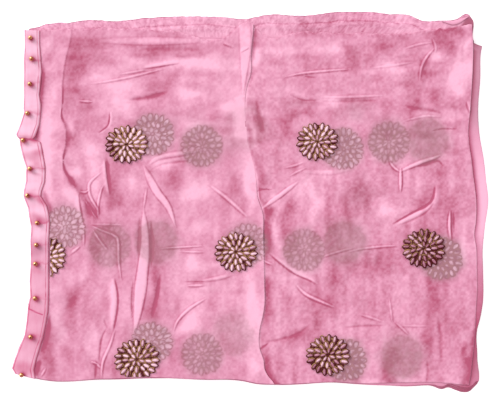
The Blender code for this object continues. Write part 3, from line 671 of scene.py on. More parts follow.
def beside_line(x, y, line, reach):
    """For points near a line: which they are, how far along it (0 to 1) and how far to its left."""
    low, high = line.min(0) - reach, line.max(0) + reach
    near = np.flatnonzero((x > low[0]) & (x < high[0]) & (y > low[1]) & (y < high[1]))
    lengths = np.hypot(*(line[1:] - line[:-1]).T)
    total = lengths.sum()
    nearest = np.full(len(near), 1e9)
    along = np.zeros(len(near))
    aside = np.zeros(len(near))
    passed = 0.0
    for start, end, length in zip(line, line[1:], lengths):
        direction = (end - start) / length
        dx, dy = x[near] - start[0], y[near] - start[1]
        share = np.clip((dx * direction[0] + dy * direction[1]) / length, 0, 1)
        off = dy * direction[0] - dx * direction[1]
        distance = np.hypot(dx - share * length * direction[0], dy - share * length * direction[1])
        closer = distance < nearest
        nearest[closer] = distance[closer]
        along[closer] = (passed + share * length)[closer] / total
        aside[closer] = (np.sign(off) * distance)[closer]
        passed += length
    keep = nearest < reach
    return near[keep], along[keep], aside[keep]


def crease_profile(kind, aside, width):
    """The crest of a crease and the shaded rim beside it, at places this far to its left."""
    off = np.abs(aside) / width
    if kind == "pleat":
        return 1.0 / (1.0 + off ** 6), peak((off - 1.1) * width, 1.0) * np.where(aside > 0, 0.75, 1.1)
    rim = peak((off - 1.2) * width, 1.1) * np.where(aside > 0, 0.55, 1.0)
    if kind == "step":
        return np.exp(np.where(aside > 0, -0.25, -2.6) * off ** 2), np.where(aside > 0, 0.0, 1.4 * rim)
    return np.exp(-1.3 * off ** 2), rim


def press_creases(x, y, creases):
    """Height and painted tone that a table of creases gives to the points of a cloth: painted highlights
    on crests, painted shade on rims and in troughs.
    """
    height = np.zeros(len(x))
    tone = np.zeros(len(x))
    for kind, rows in creases.items():
        for half_width, rise, shade, *points in rows:
            line = points_along(points)
            near, along, aside = beside_line(x, y, line[:, :2], 4.0 * half_width)
            fade = np.clip(1.0 - (2.0 * along - 1.0) ** 4, 0.0, 1.0)
            width = half_width * (CREASE_ENDS + (1 - CREASE_ENDS) * np.sin(math.pi * along))
            if line.shape[1] > 2:
                passed = np.cumsum(np.hypot(*(line[1:, :2] - line[:-1, :2]).T))
                width = np.interp(along * passed[-1], np.concatenate([[0], passed]), line[:, 2])
                width = np.maximum(width, CREASE_NARROWEST)
            crest, rim = crease_profile(kind, aside, width)
            if kind == "trough":
                height[near] -= rise * fade * crest
                tone[near] -= TROUGH_SHADE * shade * fade * crest
            else:
                height[near] += rise * fade * crest
                tone[near] += shade * fade * (CREST_HIGHLIGHT * crest - RIM_SHADE * rim)
    return height, tone


def lay_patches(x, y, patches):
    """Painted tone and greying of soft patches: painted shade and light of hollows and swells, and where
    the layers below show darker or lighter.
    """
    tone = np.zeros(len(x))
    mauve = np.zeros(len(x))
    moved_x = x + PATCH_WANDER * crumple(x, y, PATCH_WANDER_SIZE, 91)
    moved_y = y + PATCH_WANDER * crumple(x, y, PATCH_WANDER_SIZE, 92)
    for patch in (Patch(*row) for row in patches):
        turn = math.radians(patch.turn)
        dx, dy = moved_x - patch.x, moved_y - patch.y
        along = (dx * math.cos(turn) + dy * math.sin(turn)) / patch.across
        aside = (dy * math.cos(turn) - dx * math.sin(turn)) / patch.up
        weight = np.exp(-1.2 * (along ** 2 + aside ** 2))
        tone += 1.4 * patch.tone * weight
        mauve += patch.mauve * weight
    return np.where(tone < 0, np.exp(np.minimum(tone, 0)) - 1.0, tone), mauve


def petal_pattern(across, up, turn, blur):
    """A flower as it shows through the cloth: its haze, its cords and its petals, each 0 to 1."""
    reach = np.hypot(across, up)
    angle = np.arctan2(up, across) - math.radians(turn)
    cords = np.zeros(len(reach))
    petals = np.zeros(len(reach))
    for count, middle, long_half, broad_half in PETAL_ROWS:
        step = 2.0 * math.pi / count
        off_angle = (angle + 0.5 * step * (count % 2)) % step - 0.5 * step
        sideways = np.abs(off_angle) * reach / broad_half
        lengthways = np.abs(reach - middle) / long_half
        rim = sideways ** 1.6 + lengthways ** 2.0 - 1.0
        cords = np.maximum(cords, peak(rim, 0.35 * blur))
        petals = np.maximum(petals, ease(-rim / 0.6))
    disc = ease((1.0 - reach) / (0.07 * blur) + 0.5)
    haze = peak(np.maximum(reach - 0.78, 0.0), 0.2 + 0.08 * blur)
    faint = min(1.0, (blur - 1.0) / 2.0)
    cords = cords * (1.0 - faint) + 0.4 * faint
    return haze, disc * cords, disc * petals * (1.0 - faint) / blur


def lay_ghosts(x, y):
    """The dark cords, the greying and the glints of flowers below that show at each point."""
    seen = np.zeros(len(x))
    greyed = np.zeros(len(x))
    glints = np.zeros(len(x))
    taken = np.zeros(len(x))
    for ghost in (Ghost(*row) for row in GHOSTS):
        near = np.flatnonzero(np.hypot(x - ghost.x, y - ghost.y) < GHOST_REACH * GHOST_RADIUS)
        near_x, near_y = x[near], y[near]
        across = (near_x - ghost.x) / GHOST_RADIUS
        across = across + 0.05 * crumple(near_x, near_y + 9.0 * ghost.x, 6.0, 95)
        up = (near_y - ghost.y) / GHOST_RADIUS + 0.05 * crumple(near_x, near_y + 9.0 * ghost.x, 6.0, 96)
        haze, cords, petals = petal_pattern(across, up, ghost.turn, ghost.blur)
        value = ghost.strength * (0.26 * haze + 0.62 * cords - 0.14 * petals)
        value *= 0.85 + 0.5 * crumple(near_x, near_y, 4.0, 93)
        seen[near] = np.maximum(seen[near], value)
        grey = GHOST_GREYING * ghost.strength * (0.75 * haze + 0.35 * np.maximum(cords, petals))
        greyed[near] = np.maximum(greyed[near], grey)
        shine = 0.7 + 1.6 * crumple(near_x, near_y, 3.4, 94)
        shine = ghost.strength * (GHOST_GLINT * petals * shine - GHOST_LINE * cords)
        glints[near] = np.where(ghost.strength * haze > taken[near], shine, glints[near])
        taken[near] = np.maximum(taken[near], ghost.strength * haze)
    return seen, greyed, glints


def away_from_flowers(x, y):
    """0 under a flower, whose stiff embroidery keeps the cloth flat, and 1 away from it."""
    keep = np.ones(len(x))
    for flower in FLOWERS:
        reach = np.hypot((x - flower.x) / flower.half_width, (y - flower.y) / flower.half_height)
        keep *= ease(((reach - 1.0) * flower.half_width - FLAT_MARGIN) / FLAT_FADE)
    return keep


def dress_cloth(x, y, creases, patches, pebbles):
    """Relief and painted marks of a stretch of the top layer."""
    keep = away_from_flowers(x, y)
    relief, crease_tone = press_creases(x, y, creases)
    patch_tone, mauve = lay_patches(x, y, patches)
    ghost, greyed, glints = lay_ghosts(x, y)
    relief = relief + crumples(x, y, WAVES) + pebbles * crumples(x, y, CRINKLES)
    relief = relief * keep + GHOST_RELIEF * ghost
    upper = ease((y - STREAKS_TURN) / STREAKS_FADE)
    uneven = crumples(x, y, CLOUDS) + upper * crumples(x, y, STREAKS_ACROSS)
    uneven = uneven + (1 - upper) * crumples(x, y, STREAKS_UP)
    tone = crease_tone * keep + patch_tone + glints + (0.55 + 0.45 * pebbles) * uneven
    mauve = np.clip(np.maximum(mauve, greyed) + 0.1 * crumple(x, y, 12.0, 107), 0, 1)
    puckered = ease((y - cloth_top(x) + PUCKER_BAND) / PUCKER_BAND)
    tone += puckered * (crumples(x, y, PUCKER_TONES) + 0.1)
    relief += 0.16 * puckered * crumple(x, y * 0.4, 3.6, 110)
    return relief, {"tone": tone, "mauve": mauve, "ghost": ghost}


def turn_under(points, marks, side):
    """Adds rows past one side of a cloth's grid that roll it down and under."""
    axis = 1 if side == "right" else 0
    first = side == "bottom"

    def widen(values, steps):
        edge = np.take(values, 0 if first else -1, axis)
        added = [edge + step for step in steps]
        if first:
            return np.concatenate([np.stack(added[::-1], axis), values], axis)
        return np.concatenate([values, np.stack(added, axis)], axis)

    steps = np.zeros((len(FOLD_TURNS), 3))
    turns = np.radians(FOLD_TURNS)
    steps[:, 1 - axis] = (-1 if first else 1) * FOLD_RADIUS * np.sin(turns)
    steps[:, 2] = FOLD_RADIUS * (np.cos(turns) - 1.0)
    return widen(points, steps), {mark: widen(values, 0 * turns) for mark, values in marks.items()}


def cloth_grid(first_edge, shift, last_edge, width):
    """Places of a grid between two upright edges, up to the puckered edge, and the grid's shape."""
    rows, columns = int(CLOTH_LENGTH / CLOTH_CELL), int(width / CLOTH_CELL)
    share_up = np.arange(rows + 1)[:, None] / rows
    level = CLOTH_LOW + (CLOTH_HIGH - CLOTH_LOW) * share_up
    start, end = first_edge(level) + shift, last_edge(level) - FOLD_RADIUS
    x = start + (end - start) * np.arange(columns + 1) / columns
    low = cloth_bottom(x) + FOLD_RADIUS
    high = cloth_top(x) + crumples(x, 0 * x, FRAYING) - FOLD_RADIUS
    return x.ravel(), (low + (high - low) * share_up).ravel(), x.shape


def make_half(name, finish, grid, places, marks):
    """A half of the top layer, turned under along three sides, with a painted light line on the fold of
    its right side.
    """
    x, y, height = places
    points = np.stack([x, y, np.maximum(height, CLOTH_LOWEST)], 1).reshape(*grid, 3)
    marks = {mark: values.reshape(grid) for mark, values in marks.items()}
    for side in ("right", "bottom", "top"):
        points, marks = turn_under(points, marks, side)
    marks["tone"][:, -len(FOLD_TURNS):] += LIP_LIGHT
    half = make_cloth(name, points, marks)
    half.data.materials.append(georgette(finish))
    return half


cloth_top = edge_through(CLOTH_TOP)
cloth_bottom = edge_through(CLOTH_BOTTOM)
cloth_right = edge_through(CLOTH_RIGHT)
middle_fold = edge_through(MIDDLE_FOLD)
fold_shows = edge_through(FOLD_SHOWS)
x, y, grid = cloth_grid(middle_fold, -TUCK_UNDER, cloth_right, RIGHT_WIDTH)
relief, marks = dress_cloth(x, y, RIGHT_CREASES, RIGHT_PATCHES, RIGHT_PEBBLES)
past_lip, shows = x - middle_fold(y), fold_shows(y)
lip_width = LIP_SLOPE_LEAST + (LIP_SLOPE - LIP_SLOPE_LEAST) * shows
emerging = ease((past_lip + LIP_START * (1 - shows)) / lip_width)
height = CLOTH_LEVEL - (CLOTH_LEVEL - TUCK_LEVEL) * (1 - emerging)
height = height + relief * (TUCK_RELIEF + (1 - TUCK_RELIEF) * emerging)
lip_shadow = np.exp(-((np.maximum(past_lip, 0.0) / edge_through(LIP_REACH)(y)) ** 3))
# Painted light just past the middle fold, the fold's painted shadow, and painted shade along the right
# margin
marks["tone"] += LIP_LIGHT * peak(past_lip, LIP_LIGHT_REACH) - edge_through(LIP_SHADE)(y) * lip_shadow
marks["tone"] -= edge_through(MARGIN_SHADE)(y) * peak(cloth_right(y) - x, edge_through(MARGIN_REACH)(y))
right_half = make_half("top_layer_right", "georgette_right", grid, (x, y, height), marks)
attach(right_half, "root")
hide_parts("top_panel")

# The left half of the top layer: the same georgette, doubled beside the ribbon and sewn
# under it. It laps over the right half along the middle fold, where its edge turns under.
LEFT_WIDTH = 285.0
LEFT_PEBBLES = 1.0
RIBBON_COVER = 1.5
BAND_SLOPE = 9.0
BAND_STEP = 1.0
BAND_LIGHT = 0.45
BAND_LIGHT_REACH = 14.0
BAND_LINE = 1.2
FOLD_LIGHT = 0.35
FOLD_LIGHT_REACH = 6.0
CALM_FROM = -285.0
CALM_WIDTH = 18.0
CALM_LEAST = 0.1
UNDER_RIBBON = 18.0
UNDER_RIBBON_FADE = 8.0
# How high the middle fold stands: y along
MIDDLE_RISE = (
    (-239, 0.6), (-199, 1.2), (-184, 0.9), (-127, 1.4), (-72, 1.2), (-32, 1.5), (9, 0.9),
    (50, 0.9), (93, 0.9), (141, 1.2), (194, 1.5), (239, 1.6),
)
# The fold of the doubled band beside the ribbon, y along and x across, and how high it stands
BAND_FOLD = (
    (-239, -214), (-100, -211), (-60, -205), (-20, -204), (3, -210), (16, -217.5), (28, -225),
    (40, -232.5), (57, -234), (68, -231.5), (82, -230), (97, -232), (103, -235), (128, -235),
    (153, -234.5), (178, -231), (203, -225), (239, -222),
)
BAND_RISE = (
    (-239, 0.0), (-60, 0.0), (-20, 0.05), (3, 0.35), (16, 0.7), (28, 0.9), (61, 0.9),
    (130, 0.8), (166, 0.6), (208, 0.4), (239, 0.2),
)
# How dark the painted shadow line beside the doubled band is, and how broad
BAND_SHADE = (
    (-239, 0.0), (-20, 0.0), (-8, 0.15), (3, 0.4), (13, 0.8), (22, 1.3), (40, 1.5), (58, 1.4),
    (65, 0.6), (80, 0.5), (97, 0.6), (105, 1.5), (130, 1.6), (140, 0.9), (153, 0.4), (178, 0.3),
    (203, 0.25), (239, 0.1),
)
BAND_REACH = ((-239, 1.3), (58, 1.3), (66, 3.2), (96, 3.2), (104, 1.5), (150, 1.3), (239, 1.3))
# Creases and soft patches, with their painted highlights, shade and light, as for the right half
LEFT_CREASES = {
    "ridge": (
        (4.5, 0.5, 0.22, (-190, 202), (-125, 202), (-59, 202)),
        (1.5, 0.6, 0.35, (-202, 148), (-175, 152), (-150, 157), (-125, 163), (-105, 168)),
        (1.4, 0.5, 0.3, (-164, 160), (-130, 166)),
        (1.4, 0.6, 0.45, (-214, 127), (-196, 126)),
        (1.7, 0.8, 0.5, (-190, -18), (-191, -8), (-198, 4), (-201, 13), (-200, 25), (-185, 39)),
        (1.5, 0.7, 0.45, (-189, -17), (-190, -2), (-186, 16), (-182, 23)),
        (1.4, 0.4, 0.35, (-133, -8), (-131, 8), (-129, 20)),
        (1.3, 0.5, 0.4, (-214, 14), (-206, 13), (-200, 17)),
        (3, 0.8, 0.32, (-129, 46), (-112, 57), (-75, 63), (-59, 66)),
        (1.8, 0.9, 0.5, (-186, -221), (-184, -199), (-175, -178), (-169, -158)),
        (1.2, 0.4, 0.4, (-201, -198), (-190, -202)),
        (1.4, 0.6, 0.42, (-191, -21), (-207, 4)),
        (1.4, 0.4, 0.22, (-201, -27), (-155, -28)),
        (1.5, 0.9, 0.55, (-177, -61), (-188, -47), (-197, -33)),
        (1.8, 1, 0.5, (-161, -99), (-164, -74), (-165, -48), (-170, -41), (-182, -36), (-201, -28)),
        (1.4, 0.6, 0.42, (-208, -56), (-208, -31)),
        (1.3, 0.6, 0.4, (-114, -58), (-90, -56), (-56, -54)),
        (1.3, 0.5, 0.35, (-89, -61), (-56, -62)),
        (1.6, 0.6, 0.4, (-79, -104), (-56, -103)),
        (1.8, 0.9, 0.45, (-96, -162), (-90, -147), (-75, -132), (-54, -119)),
        (2.2, 0.9, 0.4, (-52, 23), (-27, 4), (-2, -19)),
        (2.4, 0.8, 0.3, (-62, -98), (-35, -93), (-10, -84)),
        (1.8, 0.8, 0.4, (-229, -67), (-212, -54)),
        (1.5, 0.6, 0.4, (-196, -198), (-186, -207)),
        (1.5, 0.6, 0.4, (-262, -218), (-255, -206)),
    ),
    "trough": (
        (4, 0.4, 0.28, (-140, 191), (-100, 192), (-59, 191)),
        (3.4, 0.7, 0.55, (-152, 128), (-125, 132), (-102, 139)),
        (2.9, 0.7, 0.75, (-179, 66), (-178, 50), (-178, 32), (-175, 14)),
        (1.5, 0.5, 0.5, (-190, -20), (-196, -10), (-203, -4)),
        (1.8, 0.5, 0.35, (-126, 39), (-112, 47), (-88, 51), (-59, 53)),
        (2.2, 0.5, 0.45, (-140, -76), (-139, -47), (-138, -18)),
        (2.2, 0.7, 0.8, (-124, -82), (-122, -53), (-124, -22)),
        (1.3, 0.5, 0.6, (-147, -149), (-148, -122), (-146, -96)),
        (3, 0.6, 0.5, (-123, -146), (-115, -109), (-112, -88)),
        (1.2, 0.4, 0.45, (-178, -158), (-183, -146)),
        (1.6, 0.6, 0.65, (-189, -201), (-186, -172), (-179, -156)),
        (1.9, 0.5, 0.55, (-194, -221), (-192, -198)),
        (3.2, 0.6, 0.3, (-198, -18), (-205, 1)),
        (1.6, 0.5, 0.5, (-215, -39), (-215, -19)),
        (6, 0.3, 0.3, (-232, -136), (-218, -117), (-201, -93)),
        (1.2, 0.4, 0.5, (-84, -99), (-56, -99)),
        (5, 0.2, 0.2, (-65, -112), (2, -112)),
        (4.2, 0.2, 0.6, (-259, 175), (-259, 160), (-260, 145), (-261, 130), (-260, 112)),
        (3.6, 0.2, 0.5, (-262, 97), (-266, 85), (-266, 75)),
        (4.2, 0.2, 0.55, (-257, 16), (-254, 2), (-250, -8), (-248, -18)),
        (3.4, 0.2, 0.7, (-250, -138), (-252, -158), (-256, -175), (-261, -188)),
        (4.5, 0.2, 0.7, (-262, -196), (-266, -207), (-266, -218)),
    ),
    "step": (
        (1.8, 0.7, 0.4, (-134, 168), (-106, 173), (-88, 175)),
        (1.3, 0.6, 0.5, (-174, 114), (-176, 96), (-189, 86)),
        (2.2, 1, 0.6, (-176, 9), (-180, 34), (-182, 53)),
        (1.6, 0.6, 0.4, (-206, -34), (-210, -24), (-214, -4), (-215, 12)),
        (3.4, 1, 0.55, (-173, -162), (-169, -122), (-171, -94)),
        (0.9, 0.4, 0.35, (-34, 199), (-20, 194)),
        (0.9, 0.4, 0.35, (-12, 188), (-1, 194)),
    ),
    "pleat": (
        (3.6, 1.2, 0.45, (-92, -33, 0.4), (-102, -6, 3.4), (-116, 13, 4.4), (-126, 31, 3.8),
         (-134, 48, 0.4)),
        (5, 1.3, 0.5, (-147, -173, 0.4), (-144, -159, 1.9), (-140, -134, 5), (-137, -109, 6.9),
         (-135, -91, 6.6), (-132, -66, 5.8), (-131, -47, 4.9), (-132, -28, 3.9), (-133, -11, 1.1),
         (-133, -1, 0.4)),
        (6, 0.9, 0.3, (-9, 133, 0.5), (-6, 191, 6.5), (-7, 231, 7)),
    ),
}
LEFT_PATCHES = (
    (-224, 88, 8, 12, 0.5), (-222, 42, 9, 10, 0.7), (-200, 14, 10, 18, 0.6), (-252, 184, 7, 14, -0.6),
    (-38, 163, 14, 9, -0.3), (-113, 54, 16, 8, 0.6), (-75, -25, 10, 9, -0.35), (-200, -62, 10, 26, -0.3),
    (-225, -130, 10, 40, -0.3), (-226, -195, 9, 14, -0.35), (-177, -128, 10, 18, -0.45),
    (-252, -192, 8, 24, -0.9), (-50, -112, 16, 10, 0.4), (-48, -170, 18, 20, 0.35), (0, -200, 8, 16, 0.6),
    (-231, -30, 20, 20, 0.3), (-5, -52, 20, 18, 0.15), (-60, -189, 20, 20, 0.3), (-60, 70, 20, 18, 0.15),
    (-222, 180, 14, 26, -0.85, 0, -6), (-222, 140, 11, 20, -0.5), (-198, 188, 12, 14, -0.6),
    (-200, 118, 12, 9, -0.45), (-118, 145, 16, 14, -0.45), (-100, 153, 12, 7, -0.3),
    (-75, 172, 40, 9, 0.75), (-150, 172, 24, 8, 0.5), (-160, 140, 26, 16, 0.6),
    (-160, 115, 22, 8, 0.5), (-115, 190, 40, 7, -0.35), (-75, 134, 18, 8, 0.7),
    (-25, 116, 14, 9, 0.55), (-138, 100, 18, 10, -0.4, 0.25), (-75, 97, 14, 8, 0.4),
    (-200, 62, 12, 16, 0.65), (-225, 78, 9, 9, -0.3), (-175, 30, 9, 26, -0.55),
    (-100, 34, 9, 14, -0.5, 0, 30), (-66, 18, 22, 16, 0.7, 0, 20), (-25, 22, 10, 12, -0.35),
    (0, 30, 8, 50, 0.75), (-250, 60, 9, 75, 0.8), (-225, 5, 10, 9, 0.6), (-250, -8, 8, 12, -0.4, 0.2),
    (-200, -10, 9, 12, -0.5), (-200, -45, 9, 18, -0.75), (-178, -45, 12, 14, -0.55, 0.2),
    (-175, 3, 12, 12, -0.6), (-125, -46, 14, 16, -0.35, 0.35), (-60, -30, 22, 10, 0.45),
    (-75, -72, 10, 10, 0.7), (-75, -120, 12, 40, 0.4), (-48, -70, 9, 7, -0.3), (0, -130, 9, 50, 0.8),
    (-25, -120, 14, 20, 0.3), (-213, -120, 16, 26, -0.2), (-225, -90, 10, 9, 0.3),
    (-250, -108, 8, 10, 0.35), (-240, -150, 8, 40, 0.3, 0.15), (-200, -175, 10, 18, 0.5),
    (-127, -140, 10, 18, -0.55), (-42, -180, 34, 22, -0.25, 0.35), (-175, -203, 8, 8, -0.4),
    (-30, 78, 30, 18, 0, 0.35), (-110, 100, 44, 14, 0, 0.25), (-256, 203, 9, 12, 0.6),
    (-78, -150, 17, 8, 1.1, 0, 42), (-30, 165, 20, 40, 0.2), (-7, 100, 9, 24, 1.1),
    (-8, 122, 7, 9, 0.5), (-190, 45, 14, 18, 0.4), (-206, -2, 6, 22, -0.25), (-153, 20, 10, 20, 0.45),
    (-118, -115, 7, 40, -0.45, 0, -5), (-153, -130, 7, 26, 0.15), (-100, 185, 60, 4, -0.3),
    (-40, -75, 30, 8, 0.4, 0, 15), (-100, 62, 60, 5, -0.2, 0, 5), (-190, 160, 20, 10, 0.4),
)
band_fold = edge_through(BAND_FOLD)
band_rise = edge_through(BAND_RISE)
middle_rise = edge_through(MIDDLE_RISE)
x, y, grid = cloth_grid(cut_end, RIBBON_COVER, middle_fold, LEFT_WIDTH)
relief, marks = dress_cloth(x, y, LEFT_CREASES, LEFT_PATCHES, LEFT_PEBBLES)
past_band, past_lip = x - band_fold(y), x - middle_fold(y)
rise, shows = band_rise(y), fold_shows(y)
doubled = rise * np.where(past_band < 0, np.exp(past_band / BAND_SLOPE), peak(past_band, BAND_STEP))
lip = shows * middle_rise(y) * np.exp(np.minimum(past_lip, 0.0) / LIP_SLOPE)
calm = np.clip(ease((past_lip - CALM_FROM) / CALM_WIDTH), CALM_LEAST, 1)
height = CLOTH_LEVEL + relief * calm + (doubled + lip) * away_from_flowers(x, y)
under_ribbon = 1 - ease((x - cut_end(y) - UNDER_RIBBON) / UNDER_RIBBON_FADE)
height = height * (1 - under_ribbon) + CLOTH_LEVEL * under_ribbon
# Painted light on the raised doubled band and along the lip of the middle fold, and the band's painted
# shadow beside it
strip = BAND_LIGHT * (past_band < 0) * np.exp(np.minimum(past_band, 0) / BAND_LIGHT_REACH)
marks["tone"] += strip * np.minimum(rise * 1.4, 1)
marks["tone"] += FOLD_LIGHT * shows * np.exp(past_lip / FOLD_LIGHT_REACH)
marks["tone"] -= edge_through(BAND_SHADE)(y) * peak(past_band - BAND_LINE, edge_through(BAND_REACH)(y))
left_half = make_half("top_layer_left", "georgette_left", grid, (x, y, height), marks)
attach(left_half, "root")
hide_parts("top_panel")

# The turned corner: the upper right corner of the second layer of georgette. It is folded
# back on itself in a slim triangle that lies beside the puckered edge of the top layer.
CORNER_LOW = 9.3
CORNER_TOP = 10.4
CORNER_LOWER = ((239.5, 226.5), (249, 222.8), (255, 221.8), (263, 224.5), (273.5, 232.5))
CORNER_UPPER = ((239.5, 226.5), (249, 227.3), (257, 227.7), (265, 230.3), (273.5, 232.5))
CORNER_STEPS = 8
CORNER_TONE = 0.35
CORNER_LINE = 0.9
corner_low = points_along(CORNER_LOWER)
corner_high = points_along(CORNER_UPPER)
shares = np.arange(CORNER_STEPS + 1)[:, None] / CORNER_STEPS
flap = corner_low + (corner_high - corner_low) * shares[..., None]
bulge = np.sqrt(np.sin(math.pi * np.clip(shares, 0.02, 0.98)))
flap_height = CORNER_LOW + (CORNER_TOP - CORNER_LOW) * bulge
flap_height = flap_height + 0.1 * crumple(flap[..., 0], flap[..., 1], 3.0, 121)
points = np.concatenate([flap, flap_height[..., None]], 2)
flap_tone = CORNER_TONE - CORNER_LINE * peak(shares, 0.15) + 0 * flap_height
marks = {"tone": flap_tone, "mauve": 0 * flap_tone, "ghost": 0 * flap_tone}
corner = make_cloth("turned_over_corner", points, marks)
corner.data.materials.append(georgette("georgette_corner"))
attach(corner, "root")
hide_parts("turned_corner")

# The end ribbon: a satin ribbon about 24 mm wide, hemmed along both sides and sewn over the
# cut end of the cloth. It is creased across at each bead and steps where the folds pull it.
RibbonRow = namedtuple("RibbonRow", "left_x left_y right_x right_y lift")
# The ribbon from its upper end down: its left and right edge, and how high it is lifted
RIBBON_ROWS = (
    (-282, 215.5, -262.5, 214.5, 0), (-281.5, 197, -262.5, 197, 0.1), (-282.5, 177, -261, 182, 0.7),
    (-282.5, 163, -260, 164.5, 0.2), (-282.5, 148, -261, 152, 0.8), (-282.5, 133, -263, 134.5, 0.2),
    (-283, 117, -261, 122, 0.5), (-282, 113, -261, 114.5, 0.9), (-287, 98, -262.5, 98, 0.8),
    (-292, 85, -267.5, 83, 1.6), (-291, 82.5, -270, 79, 1.3), (-288, 79, -261.5, 75.5, 0.1),
    (-287.5, 72, -260, 69.5, 0.2), (-285, 62, -259, 64.5, 0.9), (-282.5, 52, -257.5, 55.5, 0.1),
    (-279, 43, -255.5, 43.5, 1), (-280, 38, -255.5, 37, 0.3), (-280, 27, -256, 25.5, 0.5),
    (-282.5, 15.5, -260, 14.5, 0.4), (-283, 8, -261, 8, 1), (-277.5, -7, -254, -3, 0.2),
    (-276, -17, -251, -14.5, 0.9), (-273.5, -30.5, -250, -26, 0.4), (-274.5, -48, -251, -44.5, 0.3),
    (-274, -58, -251, -55.5, 0.9), (-274, -67, -251, -66, 0.3), (-274, -79.5, -251, -79.5, 0.8),
    (-275.5, -98, -251, -97, 0.1), (-274.5, -118, -251, -118, 0.7), (-277, -127, -252, -137, 0.9),
    (-279, -147, -255, -152, 0.2), (-281.5, -165.5, -258, -168, 0.8),
    (-287.5, -179.5, -262, -180.5, 0.3), (-294, -195.5, -267, -197, 0.4),
    (-297.5, -207, -269.5, -209, 0.2), (-293.5, -214, -268, -220.5, 0),
)
RIBBON_LEVEL = 11.9
RIBBON_SWELL = 0.4
RIBBON_THICKNESS = 0.5
RIBBON_STEP = 1.2
RIBBON_ACROSS = 52
RIBBON_UNEVEN = 0.12
RIBBON_EDGE_DROP = 0.9
LIFTED_EDGE_DROP = 0.7
# Painted shade along the ribbon's right edge and in its creases at the beads, and painted light and shade
# on its slopes
RIBBON_EDGE_SHADE = 1.2
BEAD_CREASE_SHADE = 0.9
SLOPE_LIGHT = 4.8
HEM_RISE = 0.12
HEM_PLACE = 0.03
# Each bead's crease: how far up it lies, how dark its painted shade is and how it slants
BEAD_LINES = (
    (205, 0.2, 0.0), (179, 0.6, -0.12), (148, 0.4, 0.2), (111, 0.5, -0.1), (78, 0.9, 0.15),
    (42, 0.7, 0.1), (8.5, 0.4, -0.1), (-25.5, 0.6, 0.15), (-53, 0.3, 0.0), (-76.5, 0.5, 0.1),
    (-119.5, 0.25, -0.15), (-167.5, 0.22, 0.2),
)
# Soft patches, as for the right half: painted shade in the ribbon's creases, and darker, lighter and
# mauve stretches of the satin
RIBBON_PATCHES = (
    (-275, -45, 10, 30, -0.2),
    (-262, 2, 13, 4, -1.2, 0, -15), (-262, -20, 13, 4.5, -0.8, 0.1), (-262, -60, 14, 12, -0.6, 0.4),
    (-268, 55, 10, 7, -0.6, 0, -20), (-272, 42, 12, 3, 0.3, 0, -15), (-265, 81, 9, 3.5, -0.9),
    (-270, 152, 8, 5, -0.3), (-270, -145, 60, 80, -0.5), (-276, -170, 13, 5, -0.4, 0, -10),
    (-283, -209, 16, 6, -0.7), (-270, -37, 14, 5, 0.25), (-262, -85, 10, 4, -0.3),
    (-272, 18, 10, 4, 0.2, 0, 20), (-270, 38, 12, 3, -0.4, 0, -20), (-262, 65, 9, 5, -0.7),
    (-280, -205, 9, 5, -0.4),
)
RIBBON_SEAM = ((-279, -131), (-270, -135.5), (-259, -140))
SEAM_DARKNESS = 1.1
SEAM_WIDTH = 0.7
# Sewn lines along the ribbon: how far across, and how broad, as shares of the ribbon's width
SEWN_LEFT = (0.075, 0.028)
SEWN_MIDDLE = (0.85, 0.026)
SEWN_RIGHT = (0.98, 0.02)
BEAD_COUNT = 13
# Painted shadow of each bead on the ribbon: its darkness, its shift down and to the right, away from the
# light, and its reach
BEAD_SHADE = 1.3
BEAD_SHADE_SHIFT = (1.2, -0.8, 0.0)
BEAD_SHADE_REACH = 3.6
# Satin colours; the dark one is also the painted shade of creases and edges
SATIN_LIGHT = (0.78, 0.44, 0.58, 1)
SATIN_DARK = (0.50, 0.085, 0.18, 1)
SATIN_MAUVE = (0.44, 0.235, 0.33, 1)
SATIN_THREAD = (0.48, 0.05, 0.13, 1)


def select_only(piece):
    """Makes a piece the one that the next operators work on."""
    bpy.ops.object.select_all(action="DESELECT")
    bpy.context.view_layer.objects.active = piece
    piece.select_set(True)


def bead_creases(x, y, left):
    """How much painted shade each point of one line across the ribbon gets from the creases at the beads.
    """
    crease = 0 * spread
    for place, strength, slant in BEAD_LINES:
        off = y - place - slant * (x - left - 12.0) + 2.0 * crumple(x, y, 5.0, 132)
        crease = crease + strength * peak(off, 1.2) * (0.4 + 0.6 * ease((spread - 0.35) / 0.4))
        crease = crease + 0.5 * strength * peak(off - 2.5, 4.0)
    return crease


def ribbon_line(upper, lower, share, steps):
    """One line of points across the ribbon, this share of the way between two rows, and its tone: painted
    light and shade on slopes, painted shade in creases and along the right edge.
    """
    row = RibbonRow(*(first + (second - first) * share for first, second in zip(upper, lower)))
    x = row.left_x + (row.right_x - row.left_x) * spread
    y = row.left_y + (row.right_y - row.left_y) * spread
    lift = upper.lift + (lower.lift - upper.lift) * float(ease(share))
    drop = (RIBBON_EDGE_DROP + LIFTED_EDGE_DROP * lift) * ease((spread - 0.9) / 0.1)
    z = profile + lift - drop + RIBBON_UNEVEN * crumple(x, y, 6.0, 131)
    slope = SLOPE_LIGHT * share * (1 - share) * (lower.lift - upper.lift) / steps
    edge = RIBBON_EDGE_SHADE * ease((spread - 0.96) / 0.03)
    return np.stack([x, y, z], 1), slope - BEAD_CREASE_SHADE * bead_creases(x, y, row.left_x) - edge


